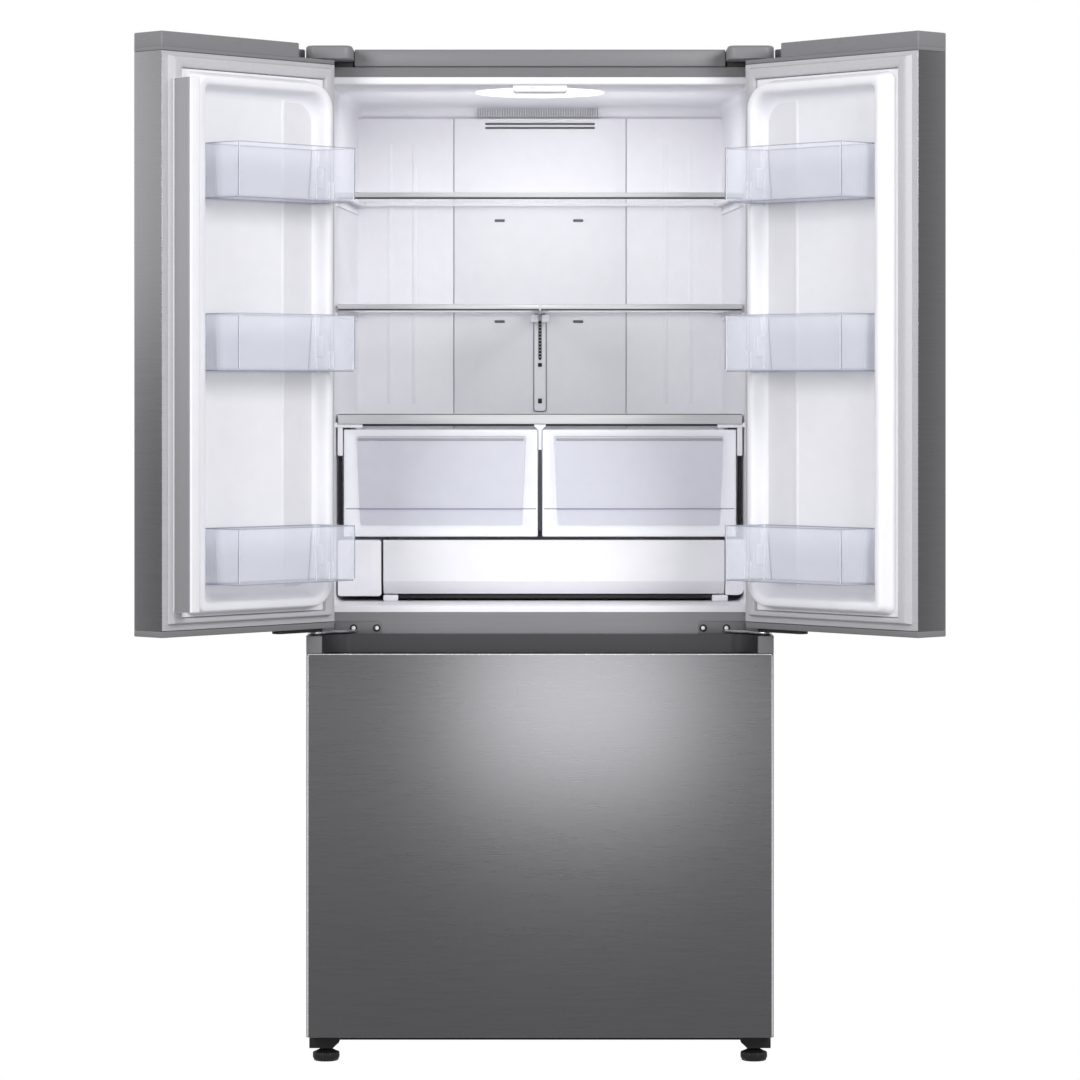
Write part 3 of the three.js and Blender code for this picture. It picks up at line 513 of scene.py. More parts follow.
def hinge_cover(side):
    name = side_name(side)
    (x0, x1), (y0, y1), (z0, z1) = limits("hinge_cover_right")
    shell_bottom = 1752.5
    bm = bmesh.new()
    loops = []
    for inset, z in (
        (1.2, shell_bottom), (0.3, shell_bottom + 0.4), (0, shell_bottom + 1.2), (0, z1 - 5.5),
        (0.5, z1 - 3.2), (1.6, z1 - 1.5), (3.4, z1 - 0.4), (6, z1),
    ):
        outline = round_rect(
            (x0 + inset, x1 - inset), (y0 + inset, y1 - inset),
            [17 - inset, 17 - inset, 8 - inset, 8 - inset], 8,
        )
        loops.append(loop("z", outline, z))
    loft(bm, loops)
    # screw recess on top
    lathe(bm, "z", (x0 + 30, 150), [(7.5, z1 - 3), (7.5, z1 - 0.25), (6.6, z1), (5, z1 - 0.1)], 24)
    piece(f"hinge_cap_{name}", bm, CAP, replaces=[f"hinge_cover_{name}"], move=mirror_move(side))
    # a black block under the cap: painted shade in the gap where the hinge plate lies
    shade_y = (CASE_FRONT + 0.5, y1 - 0.3)
    base = solid(pillow, "z", (x0 + 0.3, x1 - 2.3), shade_y, (z0, shell_bottom + 2), 3, 0.6)
    piece(f"hinge_cap_shade_{name}", base, BLACK, move=mirror_move(side))


ARM_Z = (748.5, 752.5)
PLATE_FRONT = CASE_FRONT - 3.3


def mid_hinge(side):
    name = side_name(side)
    plate = solid(pillow, "y", (279, 361), (744, 768), (PLATE_FRONT, CASE_FRONT - 0.3), 5, 0.8, 5)
    piece(f"hinge_plate_{name}", plate, CASE, move=mirror_move(side), slot="hinge_steel")
    bm = solid(prism, "z", [
        (PIN[0] + 9, PIN[1] - 2), (PIN[0] + 9, PIN[1] + 12), (PIN[0] + 2, PIN[1] + 22), (384, 62),
        (372, 74), (361, CASE_FRONT - 0.5), (318, CASE_FRONT - 0.5), (326, 74), (345, 58),
        (362, 44), (374, 30), (PIN[0] - 13, PIN[1] - 9), (PIN[0] - 2, PIN[1] - 12),
        (PIN[0] + 5, PIN[1] - 9),
    ], ARM_Z)
    # the turned-up flange that stiffens the arm
    prism(bm, "z", [(322, 80), (345, 61), (366, 41), (369.5, 43.5), (349, 64), (327, 82)],
          (ARM_Z[1] - 0.5, ARM_Z[1] + 1.1))
    soften(bm, 0.7, 2, 40)
    lathe(bm, "z", PIN, [(5, ARM_Z[0]), (5, 768), (4, 769.4)], 24)
    piece(f"lower_hinge_{name}", bm, HINGE, replaces=[f"mid_hinge_{name}"], move=mirror_move(side))
    bolts = bmesh.new()
    washers = bmesh.new()
    for x in (287, 328):
        lathe(washers, "y", (x, 756), [
            (radius, PLATE_FRONT - out) for radius, out in ((6.5, -0.5), (6.5, 1.6), (5.6, 2.4), (4, 2.4))
        ], 28)
        lathe(bolts, "y", (x, 756), [
            (radius, PLATE_FRONT - out) for radius, out in
            ((3.7, 2), (3.7, 4.6), (2.9, 5.7), (1.4, 5.8), (1.2, 4.9), (0.3, 4.8))
        ], 24)
    piece(f"hinge_washers_{name}", washers, BLACK, move=mirror_move(side))
    piece(f"hinge_bolts_{name}", bolts, BOLT, move=mirror_move(side))


# ---------- inside the fresh food room ----------
DUCT_HALF = limits("duct_cover")[0][1]
DUCT_BOTTOM, DUCT_TOP = limits("duct_cover")[2]
DUCT_FRONT = 586


def duct_cover():
    bm = solid(pillow, "y", (-DUCT_HALF, DUCT_HALF), (DUCT_BOTTOM, DUCT_TOP),
           (DUCT_FRONT, ROOM_BACK - 0.3), 3, 1.6, 3)
    cover = piece("air_duct_cover", bm, WHITE, replaces=["duct_cover"])

    long_slots = [((-104, 104), (z, z + 4.5)) for z in (1668, 1675.5)]
    short_slots = [((x - 10, x + 10), (z, z + 5.5)) for x in (-76, 72) for z in (1302, 1492.5)]

    def slots(bm):
        for x, z in long_slots + short_slots:
            pillow(bm, "y", x, z, (DUCT_FRONT - 2, DUCT_FRONT + 8), 2, 0.2, 3)

    carve(cover, slots)
    shadow = bmesh.new()
    for places, depth, gap in ((short_slots, 4, 0.4), (long_slots, 3, 0.5)):
        for x, z in places:
            y = (DUCT_FRONT + depth, DUCT_FRONT + 7.8)
            pillow(shadow, "y", grown(x, -gap), grown(z, -0.4), y, 2, 0.2, 3)
    piece("duct_shadows", shadow, CASE)


def shelf_track():
    """The upright track in the middle of the duct cover that the half shelves hang on."""
    z0, z1 = 1136, 1318
    front = DUCT_FRONT - 7
    bm = solid(pillow, "y", (-11, 11), (z0, z1), (front, DUCT_FRONT + 1), 4, 1.2, 5)
    track = piece("shelf_track", bm, WHITE)

    def hollows(bm):
        pillow(bm, "y", (-3.2, 3.2), (1232, 1306), (front - 2, front + 4), 3, 0.2, 4)
        pillow(bm, "y", (-4, 4), (1219, 1227), (front - 2, front + 4), 1.5, 0.2, 3)
        pillow(bm, "y", (-4, 4), (1150, 1160), (front - 2, front + 4), 1.5, 0.2, 3)

    carve(track, hollows)
    # black inserts at the bottom of the hollows: painted shade inside the slots
    floor = solid(pillow, "y", (-2.9, 2.9), (1232.4, 1305.6), (front + 1.6, front + 3.9), 2.6, 0.3, 4)
    for z, high in ((1219.4, 7.2), (1150.4, 9.2)):
        pillow(floor, "y", (-3.7, 3.7), (z, z + high), (front + 1.6, front + 3.9), 1, 0.2, 3)
    piece("track_slot_floor", floor, BLACK)
    teeth = bmesh.new()
    z = 1237.0
    while z < 1300:
        pillow(teeth, "y", (-1.1, 1.1), (z, z + 2.2), (front + 0.6, front + 2), 0.8, 0.3, 3)
        z += 6.2
    piece("track_teeth", teeth, TRIM, slot="case_grey")
    edge = solid(loft, [
        ring("y", (-12.4, 12.4), grown((z0, z1), 1.4), 5, y, 5) for y in
        (DUCT_FRONT - 0.35, DUCT_FRONT + 0.5)
    ])
    piece("track_shadow", edge, SHADE_DARK)


def lamp():
    """A thin oval lens, flush in the ceiling."""
    x, y, z = limits("lamp_lens")
    centre = (0, (y[0] + y[1]) / 2)
    bm = bmesh.new()
    loops = []
    for inset, down in ((0, 0), (0, 2.2), (2, 3.2), (8, 4), (20, 4.4)):
        outline = []
        for i in range(64):
            angle = 2 * math.pi * i / 64
            across = (x[1] - inset) * math.cos(angle)
            deep = ((y[1] - y[0]) / 2 - inset) * abs(math.sin(angle)) ** 1.25
            outline.append((across, centre[1] + math.copysign(deep, math.sin(angle))))
        loops.append(loop("z", outline, z[1] - down))
    loft(bm, loops)
    piece("lamp_cover", bm, LENS, replaces=["lamp_lens"])


def flap_guide():
    x, y, z = limits("mullion_guide")
    bm = solid(pillow, "y", x, z, y, [7, 7, 1, 1], 1.5, 5)
    guide = piece("flap_guide", bm, WHITE, replaces=["mullion_guide"])

    def grooves(bm):
        pillow(bm, "z", (-27, 27), (y[0] + 12, y[0] + 30), (z[0] - 2, z[0] + 6), 6, 0.2, 5)
        pillow(bm, "y", (-16, -9), (1703.5, 1708), (y[0] - 1, y[0] + 3), 1.5, 0.2, 3)

    carve(guide, grooves)


UPPER_SHELF = limits("upper_shelf")[2][1]
MIDDLE_SHELF = limits("middle_shelf_left")[2][1]
CRISPER_LID = limits("crisper_cover")[2][1]
SHELF_FRONT, SHELF_BACK = limits("upper_shelf")[1]


def shelf_half(y):
    return room_half(y) - 4.5


def between(left, right, y):
    return [(left(y[0]), y[0]), (right(y[0]), y[0]), (right(y[1]), y[1]), (left(y[1]), y[1])]


def shelf(name, node, left, right, top):
    """A glass plate, its side rails, a front trim with a dark strip of painted shadow under it, and a rear
    trim.
    """
    glass = solid(prism, "z", between(left, right, (SHELF_FRONT + 8, SHELF_BACK - 4)), (top - 7, top - 2.5))
    soften(glass, 0.4, 2)
    piece(f"{name}_glass", glass, GLASS, replaces=[node])
    frame_bm = bmesh.new()
    x = (left(SHELF_FRONT), right(SHELF_FRONT))
    prism(frame_bm, "x", [
        (SHELF_FRONT, top - 3), (SHELF_FRONT, top - 8.6), (SHELF_FRONT + 1.5, top - 9),
        (SHELF_FRONT + 20, top - 9), (SHELF_FRONT + 20, top - 1.5), (SHELF_FRONT + 18, top),
        (SHELF_FRONT + 3, top), (SHELF_FRONT + 0.8, top - 0.8),
    ], x)
    soften(frame_bm, 0.6, 2, 40)
    piece(f"{name}_front_trim", frame_bm, TRIM)
    # a dark strip under the front trim: painted shadow
    dark = solid(block, grown(x, -0.5), (SHELF_FRONT + 0.8, SHELF_FRONT + 18), (top - 11.4, top - 9.1))
    soften(dark, 0.3, 1)
    piece(f"{name}_trim_shadow", dark, SHADE_DARK)
    rails = bmesh.new()
    span = (SHELF_FRONT + 20.5, SHELF_BACK - 3)
    for a, b in ((left, lambda y: left(y) + 12), (lambda y: right(y) - 12, right)):
        prism(rails, "z", between(a, b, span), (top - 9.5, top - 0.3))
    prism(rails, "z", between(left, right, (SHELF_BACK - 9, SHELF_BACK - 0.2)), (top - 7.4, top))
    soften(rails, 1.0, 2)
    piece(f"{name}_rails", rails, WHITE, slot="shelf_glass")


def shelves():
    left = lambda y: -shelf_half(y)
    shelf("upper_shelf", "upper_shelf", left, shelf_half, UPPER_SHELF)
    shelf("half_shelf_left", "middle_shelf_left", left, lambda y: -1.4, MIDDLE_SHELF)
    shelf("half_shelf_right", "middle_shelf_right", lambda y: 1.4, shelf_half, MIDDLE_SHELF)
    hooks = bmesh.new()
    for x in (-17.5, 3.5):
        pillow(hooks, "y", (x, x + 14), (MIDDLE_SHELF - 26, MIDDLE_SHELF - 11.6),
               (DUCT_FRONT - 34, DUCT_FRONT - 9), 2, 0.8, 3)
    piece("half_shelf_hooks", hooks, WHITE, slot="shelf_glass")


# ---------- drawers of the fresh food room ----------
CRISPER_FRONT, CRISPER_BACK = limits("crisper_right")[1]
CRISPER_INNER, CRISPER_FACE = limits("crisper_right")[0]
CRISPER_BOTTOM, CRISPER_TOP = limits("crisper_right")[2]
CRISPER_OUTER = 330


LID_FRONT = CRISPER_FRONT - 6
LID_BACK = CRISPER_BACK + 23
LID_BOTTOM = CRISPER_LID - 16


def crisper_lid():
    """The cover over the crispers: glass, a front trim with dark lines, and rails."""
    left = lambda y: -shelf_half(y)
    span = (LID_FRONT + 16, LID_BACK - 10)
    glass = solid(prism, "z", between(left, shelf_half, span), (CRISPER_LID - 7, CRISPER_LID - 2))
    soften(glass, 0.4, 2)
    piece("crisper_lid_glass", glass, GLASS, replaces=["crisper_cover"])
    half = shelf_half(LID_FRONT)
    trim = solid(prism, "x", [
        (LID_FRONT, CRISPER_LID - 2.5), (LID_FRONT, LID_BOTTOM - 1), (LID_FRONT + 1.2, LID_BOTTOM - 2),
        (LID_FRONT + 20, LID_BOTTOM - 2), (LID_FRONT + 20, CRISPER_LID - 0.4),
        (LID_FRONT + 1, CRISPER_LID - 0.4),
    ], (-half, half))
    soften(trim, 0.8, 2, 40)
    piece("crisper_lid_trim", trim, TRIM)
    dark = solid(block, (-half, half), (LID_FRONT + 0.6, LID_FRONT + 17), (CRISPER_LID - 1.6, CRISPER_LID))
    z = (LID_BOTTOM - 5.5, LID_BOTTOM - 2.2)
    block(dark, (-half + 3, half - 3), (LID_FRONT + 12, LID_FRONT + 64), z)
    soften(dark, 0.3, 1)
    piece("crisper_lid_shadow", dark, BLACK)
    rails = bmesh.new()
    top = CRISPER_LID - 0.4
    for a, b in ((left, lambda y: left(y) + 14), (lambda y: shelf_half(y) - 14, shelf_half)):
        prism(rails, "z", between(a, b, (LID_FRONT + 21, LID_BACK - 6)), (LID_BOTTOM, top))
    prism(rails, "z", between(left, shelf_half, (LID_BACK - 16, LID_BACK - 2)), (LID_BOTTOM + 2, top))
    soften(rails, 1, 2)
    piece("crisper_lid_rails", rails, WHITE, slot="shelf_glass")


def crisper_supports():
    """What carries the crispers: a funnel and web in the middle, brackets at the sides. The web's dark
    colour and the black blocks in the gaps beside the crispers are painted shade.
    """
    back = CRISPER_BACK - 20
    top = LID_BOTTOM - 2.3
    support = solid(prism, "y", [
        (-10.5, top), (10.5, top), (10.5, top - 3), (3, top - 11), (3, top - 46), (-3, top - 46),
        (-3, top - 11), (-10.5, top - 3),
    ], (CRISPER_FRONT - 2, back))
    soften(support, 0.5, 2, 40)
    piece("crisper_centre_support", support, WHITE)
    # the web's dark colour is painted shade in the gap between the two crispers
    web = solid(block, (-1.6, 1.6), (CRISPER_FRONT + 6, back), (CRISPER_BOTTOM + 10, top - 45))
    piece("crisper_centre_web", web, SHADE_DARK)
    brackets = bmesh.new()
    side_gap_shade = bmesh.new()
    bracket_back = CRISPER_FRONT + 24
    z = (LID_BOTTOM - 8.6, LID_BOTTOM - 2.2)
    for sign in (-1, 1):
        x = on_side(sign, CRISPER_FACE + 1.8, CRISPER_FACE + 11)
        pillow(brackets, "y", x, (1057, z[1]), (CRISPER_FRONT - 1, bracket_back), 2, 0.8, 3)
        x = on_side(sign, CRISPER_FACE - 34, CRISPER_FACE + 11)
        pillow(brackets, "y", x, z, (CRISPER_FRONT - 2, bracket_back), 2, 0.8, 3)
        x = on_side(sign, CRISPER_OUTER + 3, CRISPER_OUTER + 9.6)
        block(brackets, x, (bracket_back, CRISPER_BACK), (1080, LID_BOTTOM - 1))
        x = on_side(sign, CRISPER_FACE + 4, room_half(CRISPER_FRONT + 30) - 2)
        block(side_gap_shade, x, (CRISPER_FRONT + 18, CRISPER_FRONT + 30), (CRISPER_BOTTOM + 12, 1056))
    piece("crisper_brackets", brackets, WHITE)
    # the black blocks in the gaps beside the crisper fronts are painted shade
    soften(side_gap_shade, 1, 2)
    piece("crisper_side_gaps", side_gap_shade, BLACK)


def crisper_front(side):
    """A bright frame round a slightly sunk milky panel with a line and a hem."""
    name = side_name(side)
    on_crisper = {"body": f"crisper_{name}", "move": mirror_move(side)}
    front = CRISPER_FRONT
    back = front + 7
    x = (CRISPER_INNER, CRISPER_FACE)
    z = (CRISPER_BOTTOM, CRISPER_TOP)
    opening = ((x[0] + 22, x[1] - 22), (z[0] + 20, z[1] - 13))

    def rim_loop(grow, at):
        return ring("y", grown(x, grow), grown(z, grow), 3, at, 5)

    def panel_loop(grow, radius, at):
        """The opening's outline, which narrows by 7 on each side towards its foot."""
        u = grown(opening[0], grow)
        v = grown(opening[1], grow)
        middle = sum(u) / 2
        outline = []
        for px, pz in round_rect(u, v, radius, 5):
            narrow = 7 * (v[1] - pz) / (v[1] - v[0])
            outline.append((px - math.copysign(narrow, px - middle), pz))
        return loop("y", outline, at)

    bm = bmesh.new()
    # a closed ring: back rim, front rim, then the soft reveal round the tapered panel
    loft(bm, [
        rim_loop(-0.4, back), rim_loop(0, back - 1), rim_loop(0, front + 1.5), rim_loop(-1.4, front),
        panel_loop(4, 6, front), panel_loop(1.5, 5, front + 0.8), panel_loop(0, 4, front + 2.6),
        panel_loop(-1, 4, back),
    ], ends=False)
    piece(f"crisper_frame_{name}", bm, MILKY_BRIGHT, **on_crisper)
    panel = solid(loft, [panel_loop(1, 4, front + 3), panel_loop(1, 4, front + 6)])
    piece(f"crisper_panel_{name}", panel, MILKY, **on_crisper)
    line_z = (z[0] + 49, z[0] + 51.2)
    line = solid(pillow, "y", grown(x, -3), line_z, (front - 0.3, front + 0.6), 1, 0.2, 3)
    piece(f"crisper_line_{name}", line, CLEAR_EDGE, **on_crisper)
    hem_z = (z[1] - 20, z[1] - 15.4)
    hem = solid(pillow, "y", grown(opening[0], -3), hem_z, (front + 2.2, front + 4), 1, 0.5, 3)
    piece(f"crisper_hem_{name}", hem, TRIM_DARK, **on_crisper)


def crisper_tray(side):
    body = f"crisper_{side_name(side)}"
    x = (CRISPER_INNER + 2, CRISPER_OUTER)
    y = (CRISPER_FRONT + 6, CRISPER_BACK - 8)
    outer = round_rect(x, y, [3, 3, 16, 16])
    inner = round_rect(grown(x, -2.6), (y[0] + 2, y[1] - 2.6), [2, 2, 14, 14])
    bm = solid(tray, outer, inner, (CRISPER_BOTTOM + 1, CRISPER_TOP - 1), 3)
    piece(f"crisper_tray_{side_name(side)}", bm, MILKY, body, replaces=[body], move=mirror_move(side))


PANTRY_X, PANTRY_Y, PANTRY_Z = limits("pantry_drawer")


def pantry():
    bm = bmesh.new()
    front, top = PANTRY_Y[0], PANTRY_Z[1]
    prism(bm, "x", [
        (front + 15, PANTRY_Z[0]), (front + 19, PANTRY_Z[0]), (front + 19, top - 2), (front + 12.5, top),
        (front + 1.5, top), (front, top - 1.5), (front, 832),
    ], PANTRY_X)
    soften(bm, 0.6, 2, 20)
    piece("pantry_front", bm, WHITE, "pantry_drawer", replaces=["pantry_drawer"])
    bin_bm = bmesh.new()
    x = grown(PANTRY_X, -6)
    outer = round_rect(x, (front + 17, PANTRY_Y[1]), [3, 3, 12, 12])
    inner = round_rect(grown(x, -3), (front + 20.5, PANTRY_Y[1] - 3), [2, 2, 10, 10])
    tray(bin_bm, outer, inner, (814, 900), 3)
    piece("pantry_tray", bin_bm, WHITE, "pantry_drawer")
    slot_bm = solid(block, (PANTRY_X[0] + 24, PANTRY_X[1] - 8), (front + 24, front + 60), (800, 808))
    soften(slot_bm, 1, 2)
    piece("pantry_slot_shadow", slot_bm, BLACK)
    ends = bmesh.new()
    for x0, x1 in ((PANTRY_X[0], PANTRY_X[0] + 26), (PANTRY_X[1] - 22, PANTRY_X[1] + 6)):
        pillow(ends, "y", (x0, x1), (796.5, 807), (front + 2, front + 50), 2, 1, 3)
    piece("pantry_rail_ends", ends, WHITE)
    filler = bmesh.new()
    wall = room_half(front + 6)
    pillow(filler, "y", (PANTRY_X[1] + 1.6, wall + 0.6), (ROOM_FLOOR + 11, 907), (front + 6, front + 60),
           [4, 12, 2, 2], 1.2, 5)
    piece("pantry_side_filler", filler, WHITE)


def filter_cover():
    x, y, z = limits("filter_cover")
    bm = bmesh.new()
    loops = []
    for inset, at in ((2.2, y[0]), (0.8, y[0] + 0.7), (0, y[0] + 2.4), (0, 400), (0, y[1])):
        left = 3 - room_half(at)
        loops.append(ring("y", (left + inset, x[1] - inset), (z[0] + inset, z[1] - inset), 5, at, 5))
    loft(bm, loops)
    cover = piece("filter_housing", bm, WHITE, replaces=["filter_cover"])

    def crease(bm):
        pillow(bm, "y", (x[1] - 22, x[1] - 21), (z[0] + 8, z[1] - 8), (y[0] - 1, y[0] + 0.5), 0.4, 0.1, 2)

    carve(cover, crease)


# ---------- doors, made closed on the right ----------
DOOR_BOTTOM = limits("left_door_bottom_cap")[2][0] + 6
DOOR_TOP = limits("left_door_top_cap")[2][1]
PANEL_Z = limits("left_door_panel")[2]
CAP_TOP = 770.5
TOP_CAP = 1742
NOTCH = 1749
NOTCH_WIDTH = 85


def from_hinge(near, far):
    return (HALF - far, HALF - near)


DOOR_X = (DOOR_EDGE, HALF)
DOOR_Y = (0, DOOR_THICK)
DOOR_CORNERS = [5, 5, 0.6, 0.6]


def rounded_prism(bm, x, y, radii, z, edge_low, edge_high, steps=8):
    """An upright rounded plate whose lower and upper rims have their own rounding."""
    loft(bm, rim("z", x, y, radii, z[0], edge_low, steps)
         + rim("z", x, y, radii, z[1], -edge_high, steps)[::-1])


def door_shell(side):
    name = side_name(side)
    move = settle(side)
    body = f"{name}_door"
    bm = solid(rounded_prism, DOOR_X, DOOR_Y, DOOR_CORNERS, PANEL_Z, 0.5, 0.5)
    piece(f"{name}_steel_skin", bm, STEEL, body, replaces=[f"{name}_door_panel"], move=move)
    # the steel folds round to the back and ends beside the gasket
    back = bmesh.new()
    stations = ((0.4, 1, -0.25), (0.4, 1, 0.25), (20, 20, 0.25), (20, 20, -0.25))
    loft(back, [
        ring("y", grown(DOOR_X, -u), grown(PANEL_Z, -v), 1, DOOR_THICK + out, 2)
        for u, v, out in stations
    ], ends=False)
    piece(f"{name}_steel_return", back, STEEL_RETURN, body, move=move)
    caps = solid(rounded_prism, DOOR_X, DOOR_Y, DOOR_CORNERS, (TOP_CAP, NOTCH), 0.6, 0.3)
    rounded_prism(
        caps, (DOOR_X[0], HALF - NOTCH_WIDTH), DOOR_Y, [5, 2, 2, 2], (NOTCH - 1, DOOR_TOP), 0.3, 2.2
    )
    # the thin lip that hides the hinge from the front
    pillow(caps, "y", (HALF - NOTCH_WIDTH - 1, HALF - 5), (NOTCH - 1, DOOR_TOP - 2.5), (1.2, 4),
           [0.5, 0.5, 3, 0.5], 0.6, 4)
    plug = from_hinge(224, 240)
    pillow(caps, "y", plug, (DOOR_TOP - 11, DOOR_TOP - 1.5), (DOOR_THICK - 3, DOOR_THICK + 0.25), 4, 0.2, 4)
    piece(f"{name}_top_end_cap", caps, CAP, body, replaces=[f"{name}_door_top_cap"], move=move)
    foot = solid(rounded_prism, DOOR_X, DOOR_Y, DOOR_CORNERS, (DOOR_BOTTOM, CAP_TOP), 1.6, 0.4)
    piece(f"{name}_bottom_end_cap", foot, CAP, body, replaces=[f"{name}_door_bottom_cap"], move=move)
    closer = bmesh.new()
    x = from_hinge(22, 128)
    pillow(closer, "z", x, (44, 66), (DOOR_BOTTOM - 6, DOOR_BOTTOM + 1), [8, 3, 3, 8], 1, 5)
    piece(f"{name}_closer", closer, BLACK, body, move=move)


SHEET_X = from_hinge(34, 366)
SHEET_Z = (793, 1713)
RIM_X = from_hinge(36, 350)
RIM_Z = (802, 1702)
RIM_HEIGHT = 35
FLOOR_Y = DOOR_THICK + 6.3
# The raised rim from its foot over its top and down to the floor inside it. Each row: how far it
# stands in at the free side, the hinge side, below and above, its two corner radii, and its depth.
RIM_CREST = DOOR_THICK + RIM_HEIGHT
RIM_ROWS = (
    (-9.5, 0.2, -5.5, -7.5, 16, 44, FLOOR_Y),
    (-8.6, 0.1, -5, -6.8, 16, 44, FLOOR_Y + 1),
    (-6.5, 0.1, -4, -5.2, 15, 44, FLOOR_Y + 6),
    (-1.6, 0.2, -1, -1.6, 14, 44, RIM_CREST - 7),
    (0, 0.6, 0, 0, 14, 44, RIM_CREST - 3.6),
    (1.2, 1.8, 1.2, 1.2, 13, 43, RIM_CREST - 1.2),
    (3.6, 4, 3.6, 3.6, 12, 41, RIM_CREST),
    (11, 11, 12, 11.5, 10, 36, RIM_CREST),
    (14, 13.6, 14.6, 14.5, 10, 34, RIM_CREST - 1.6),
    (15.6, 15.6, 16.6, 16.4, 10, 33, RIM_CREST - 5),
    (17.4, 17.4, 21, 19.5, 11, 33, FLOOR_Y + 15),
    (19, 19.5, 25, 23, 13, 34, FLOOR_Y + 7),
    (22, 23, 31, 28, 16, 36, FLOOR_Y + 2),
    (28, 29, 38, 36, 18, 36, FLOOR_Y + 0.3),
)


def liner_skin(bm):
    """The moulding of a door: flat border, raised rim with soft flanks, and a floor."""
    loops = []
    for inset, y in ((0, DOOR_THICK + 0.3), (0, FLOOR_Y - 1.2), (0.5, FLOOR_Y - 0.3), (1.4, FLOOR_Y)):
        outline = round_rect(grown(SHEET_X, -inset), grown(SHEET_Z, -inset), 2, 8)
        loops.append(loop("y", outline, y))
    for free, hinge, low, high, near, far, y in RIM_ROWS:
        u = (RIM_X[0] + free, RIM_X[1] - hinge)
        v = (RIM_Z[0] + low, RIM_Z[1] - high)
        loops.append(ring("y", u, v, [near, far, far, near], y, 8))
    loft(bm, loops)


def door_liner(side):
    """The white liner with a shallow upright rib, a band of painted shade beside it, and the bins' lugs."""
    name = side_name(side)
    on_door = {"body": f"{name}_door", "move": settle(side)}
    ends = (RIM_Z[0] + 30, RIM_Z[1] - 28)
    bm = solid(liner_skin)
    pillow(bm, "y", from_hinge(127, 134), ends, (FLOOR_Y - 1, FLOOR_Y + 1.7), 3.4, 1.2, 5)
    # the band beside the rib is painted shade, in a darker copy of the liner white
    band = solid(pillow, "y", from_hinge(56, 127.5), ends, (FLOOR_Y - 1, FLOOR_Y + 0.9), 3, 0.6, 4)
    piece(f"{name}_liner_shade_band", band, SHADED_LINER_WHITE, **on_door)
    for low, _ in BIN_LEVELS.values():
        for near, far in ((51, 57), (331, 336)):
            x = from_hinge(near, far)
            pillow(bm, "y", x, (low + 26, low + 62), (FLOOR_Y + 3, RIM_CREST - 6), 2, 1.2, 3)
    piece(f"{name}_inner_liner", bm, WHITE, replaces=[f"{name}_door_liner"], smooth=40, **on_door)


BIN_LEVELS = {
    level: limits(f"right_bin_{level}")[2] for level in ("upper", "middle", "lower")
}


def ring_between(t, outer, inner):
    u = tuple(a + (b - a) * t for a, b in zip(outer[0], inner[0]))
    v = tuple(a + (b - a) * t for a, b in zip(outer[1], inner[1]))
    return u, v


def gasket(name, outer, inner, body, slot_node, move, back=DOOR_THICK + 0.3, lip=CASE_FRONT - 0.6):
    """A soft magnetic gasket: a flat root, a bellows groove and a rounded magnet pocket."""
    bm = bmesh.new()
    loops = []
    for t, y in (
        (0.0, back), (0.0, back + 1), (0.05, back + 2.4), (0.12, lip - 3.4), (0.17, lip - 1.2),
        (0.26, lip - 0.2), (0.4, lip), (0.72, lip), (0.84, lip - 0.4), (0.92, lip - 1.6),
        (0.96, lip - 4), (0.985, back),
    ):
        u, v = ring_between(t, outer, inner)
        loops.append(ring("y", u, v, 1.2, y, 3))
    loft(bm, loops, ends=False)
    piece(name, bm, GASKET, body, replaces=[slot_node], move=move)


def door_gasket(side):
    name = side_name(side)
    outer = (from_hinge(13, 390.5), (782, 1735))
    inner = (grown(SHEET_X, 0.4), grown(SHEET_Z, 0.4))
    gasket(f"{name}_magnetic_gasket", outer, inner, f"{name}_door", f"{name}_door_gasket", settle(side))


# ---------- door bins ----------
BIN_WIDE = from_hinge(45, 321)
BIN_NARROW = from_hinge(54, 319)
BIN_BACK = DOOR_THICK + 8.3
BIN_SHOULDER = DOOR_THICK + RIM_HEIGHT + 1.4
BIN_FRONT = DOOR_THICK + 99


def moved_in(outline, by):
    """The outline moved inwards; its points run counter-clockwise."""
    count = len(outline)
    result = []
    for i in range(count):
        before = Vector(outline[i - 1])
        here = Vector(outline[i])
        after = Vector(outline[(i + 1) % count])
        a = (here - before).normalized()
        b = (after - here).normalized()
        normal_a = Vector((-a.y, a.x))
        normal_b = Vector((-b.y, b.x))
        middle = (normal_a + normal_b).normalized()
        reach = by / max(middle.dot(normal_a), 0.4)
        result.append(tuple(here + middle * reach))
    return result


def arc(centre, radius, start, end, steps=6):
    return [
        (
            centre[0] + radius * math.cos(math.radians(start + (end - start) * i / steps)),
            centre[1] + radius * math.sin(math.radians(start + (end - start) * i / steps)),
        )
        for i in range(steps + 1)
    ]


def bin_outline():
    r = 5
    points = []
    points += arc((BIN_NARROW[0] + 3, BIN_BACK + 3), 3, 180, 270, 3)
    points += arc((BIN_NARROW[1] - 3, BIN_BACK + 3), 3, 270, 360, 3)
    points += [(BIN_NARROW[1], BIN_SHOULDER - 2)]
    points += arc((BIN_WIDE[1] - 1.5, BIN_SHOULDER + 1.5), 1.5, 270, 360, 3)
    points += arc((BIN_WIDE[1] - r, BIN_FRONT - r), r, 0, 90, 7)
    points += arc((BIN_WIDE[0] + r, BIN_FRONT - r), r, 90, 180, 7)
    points += arc((BIN_WIDE[0] + 1.5, BIN_SHOULDER + 1.5), 1.5, 180, 270, 3)
    points += [(BIN_NARROW[0], BIN_SHOULDER - 2)]
    return points


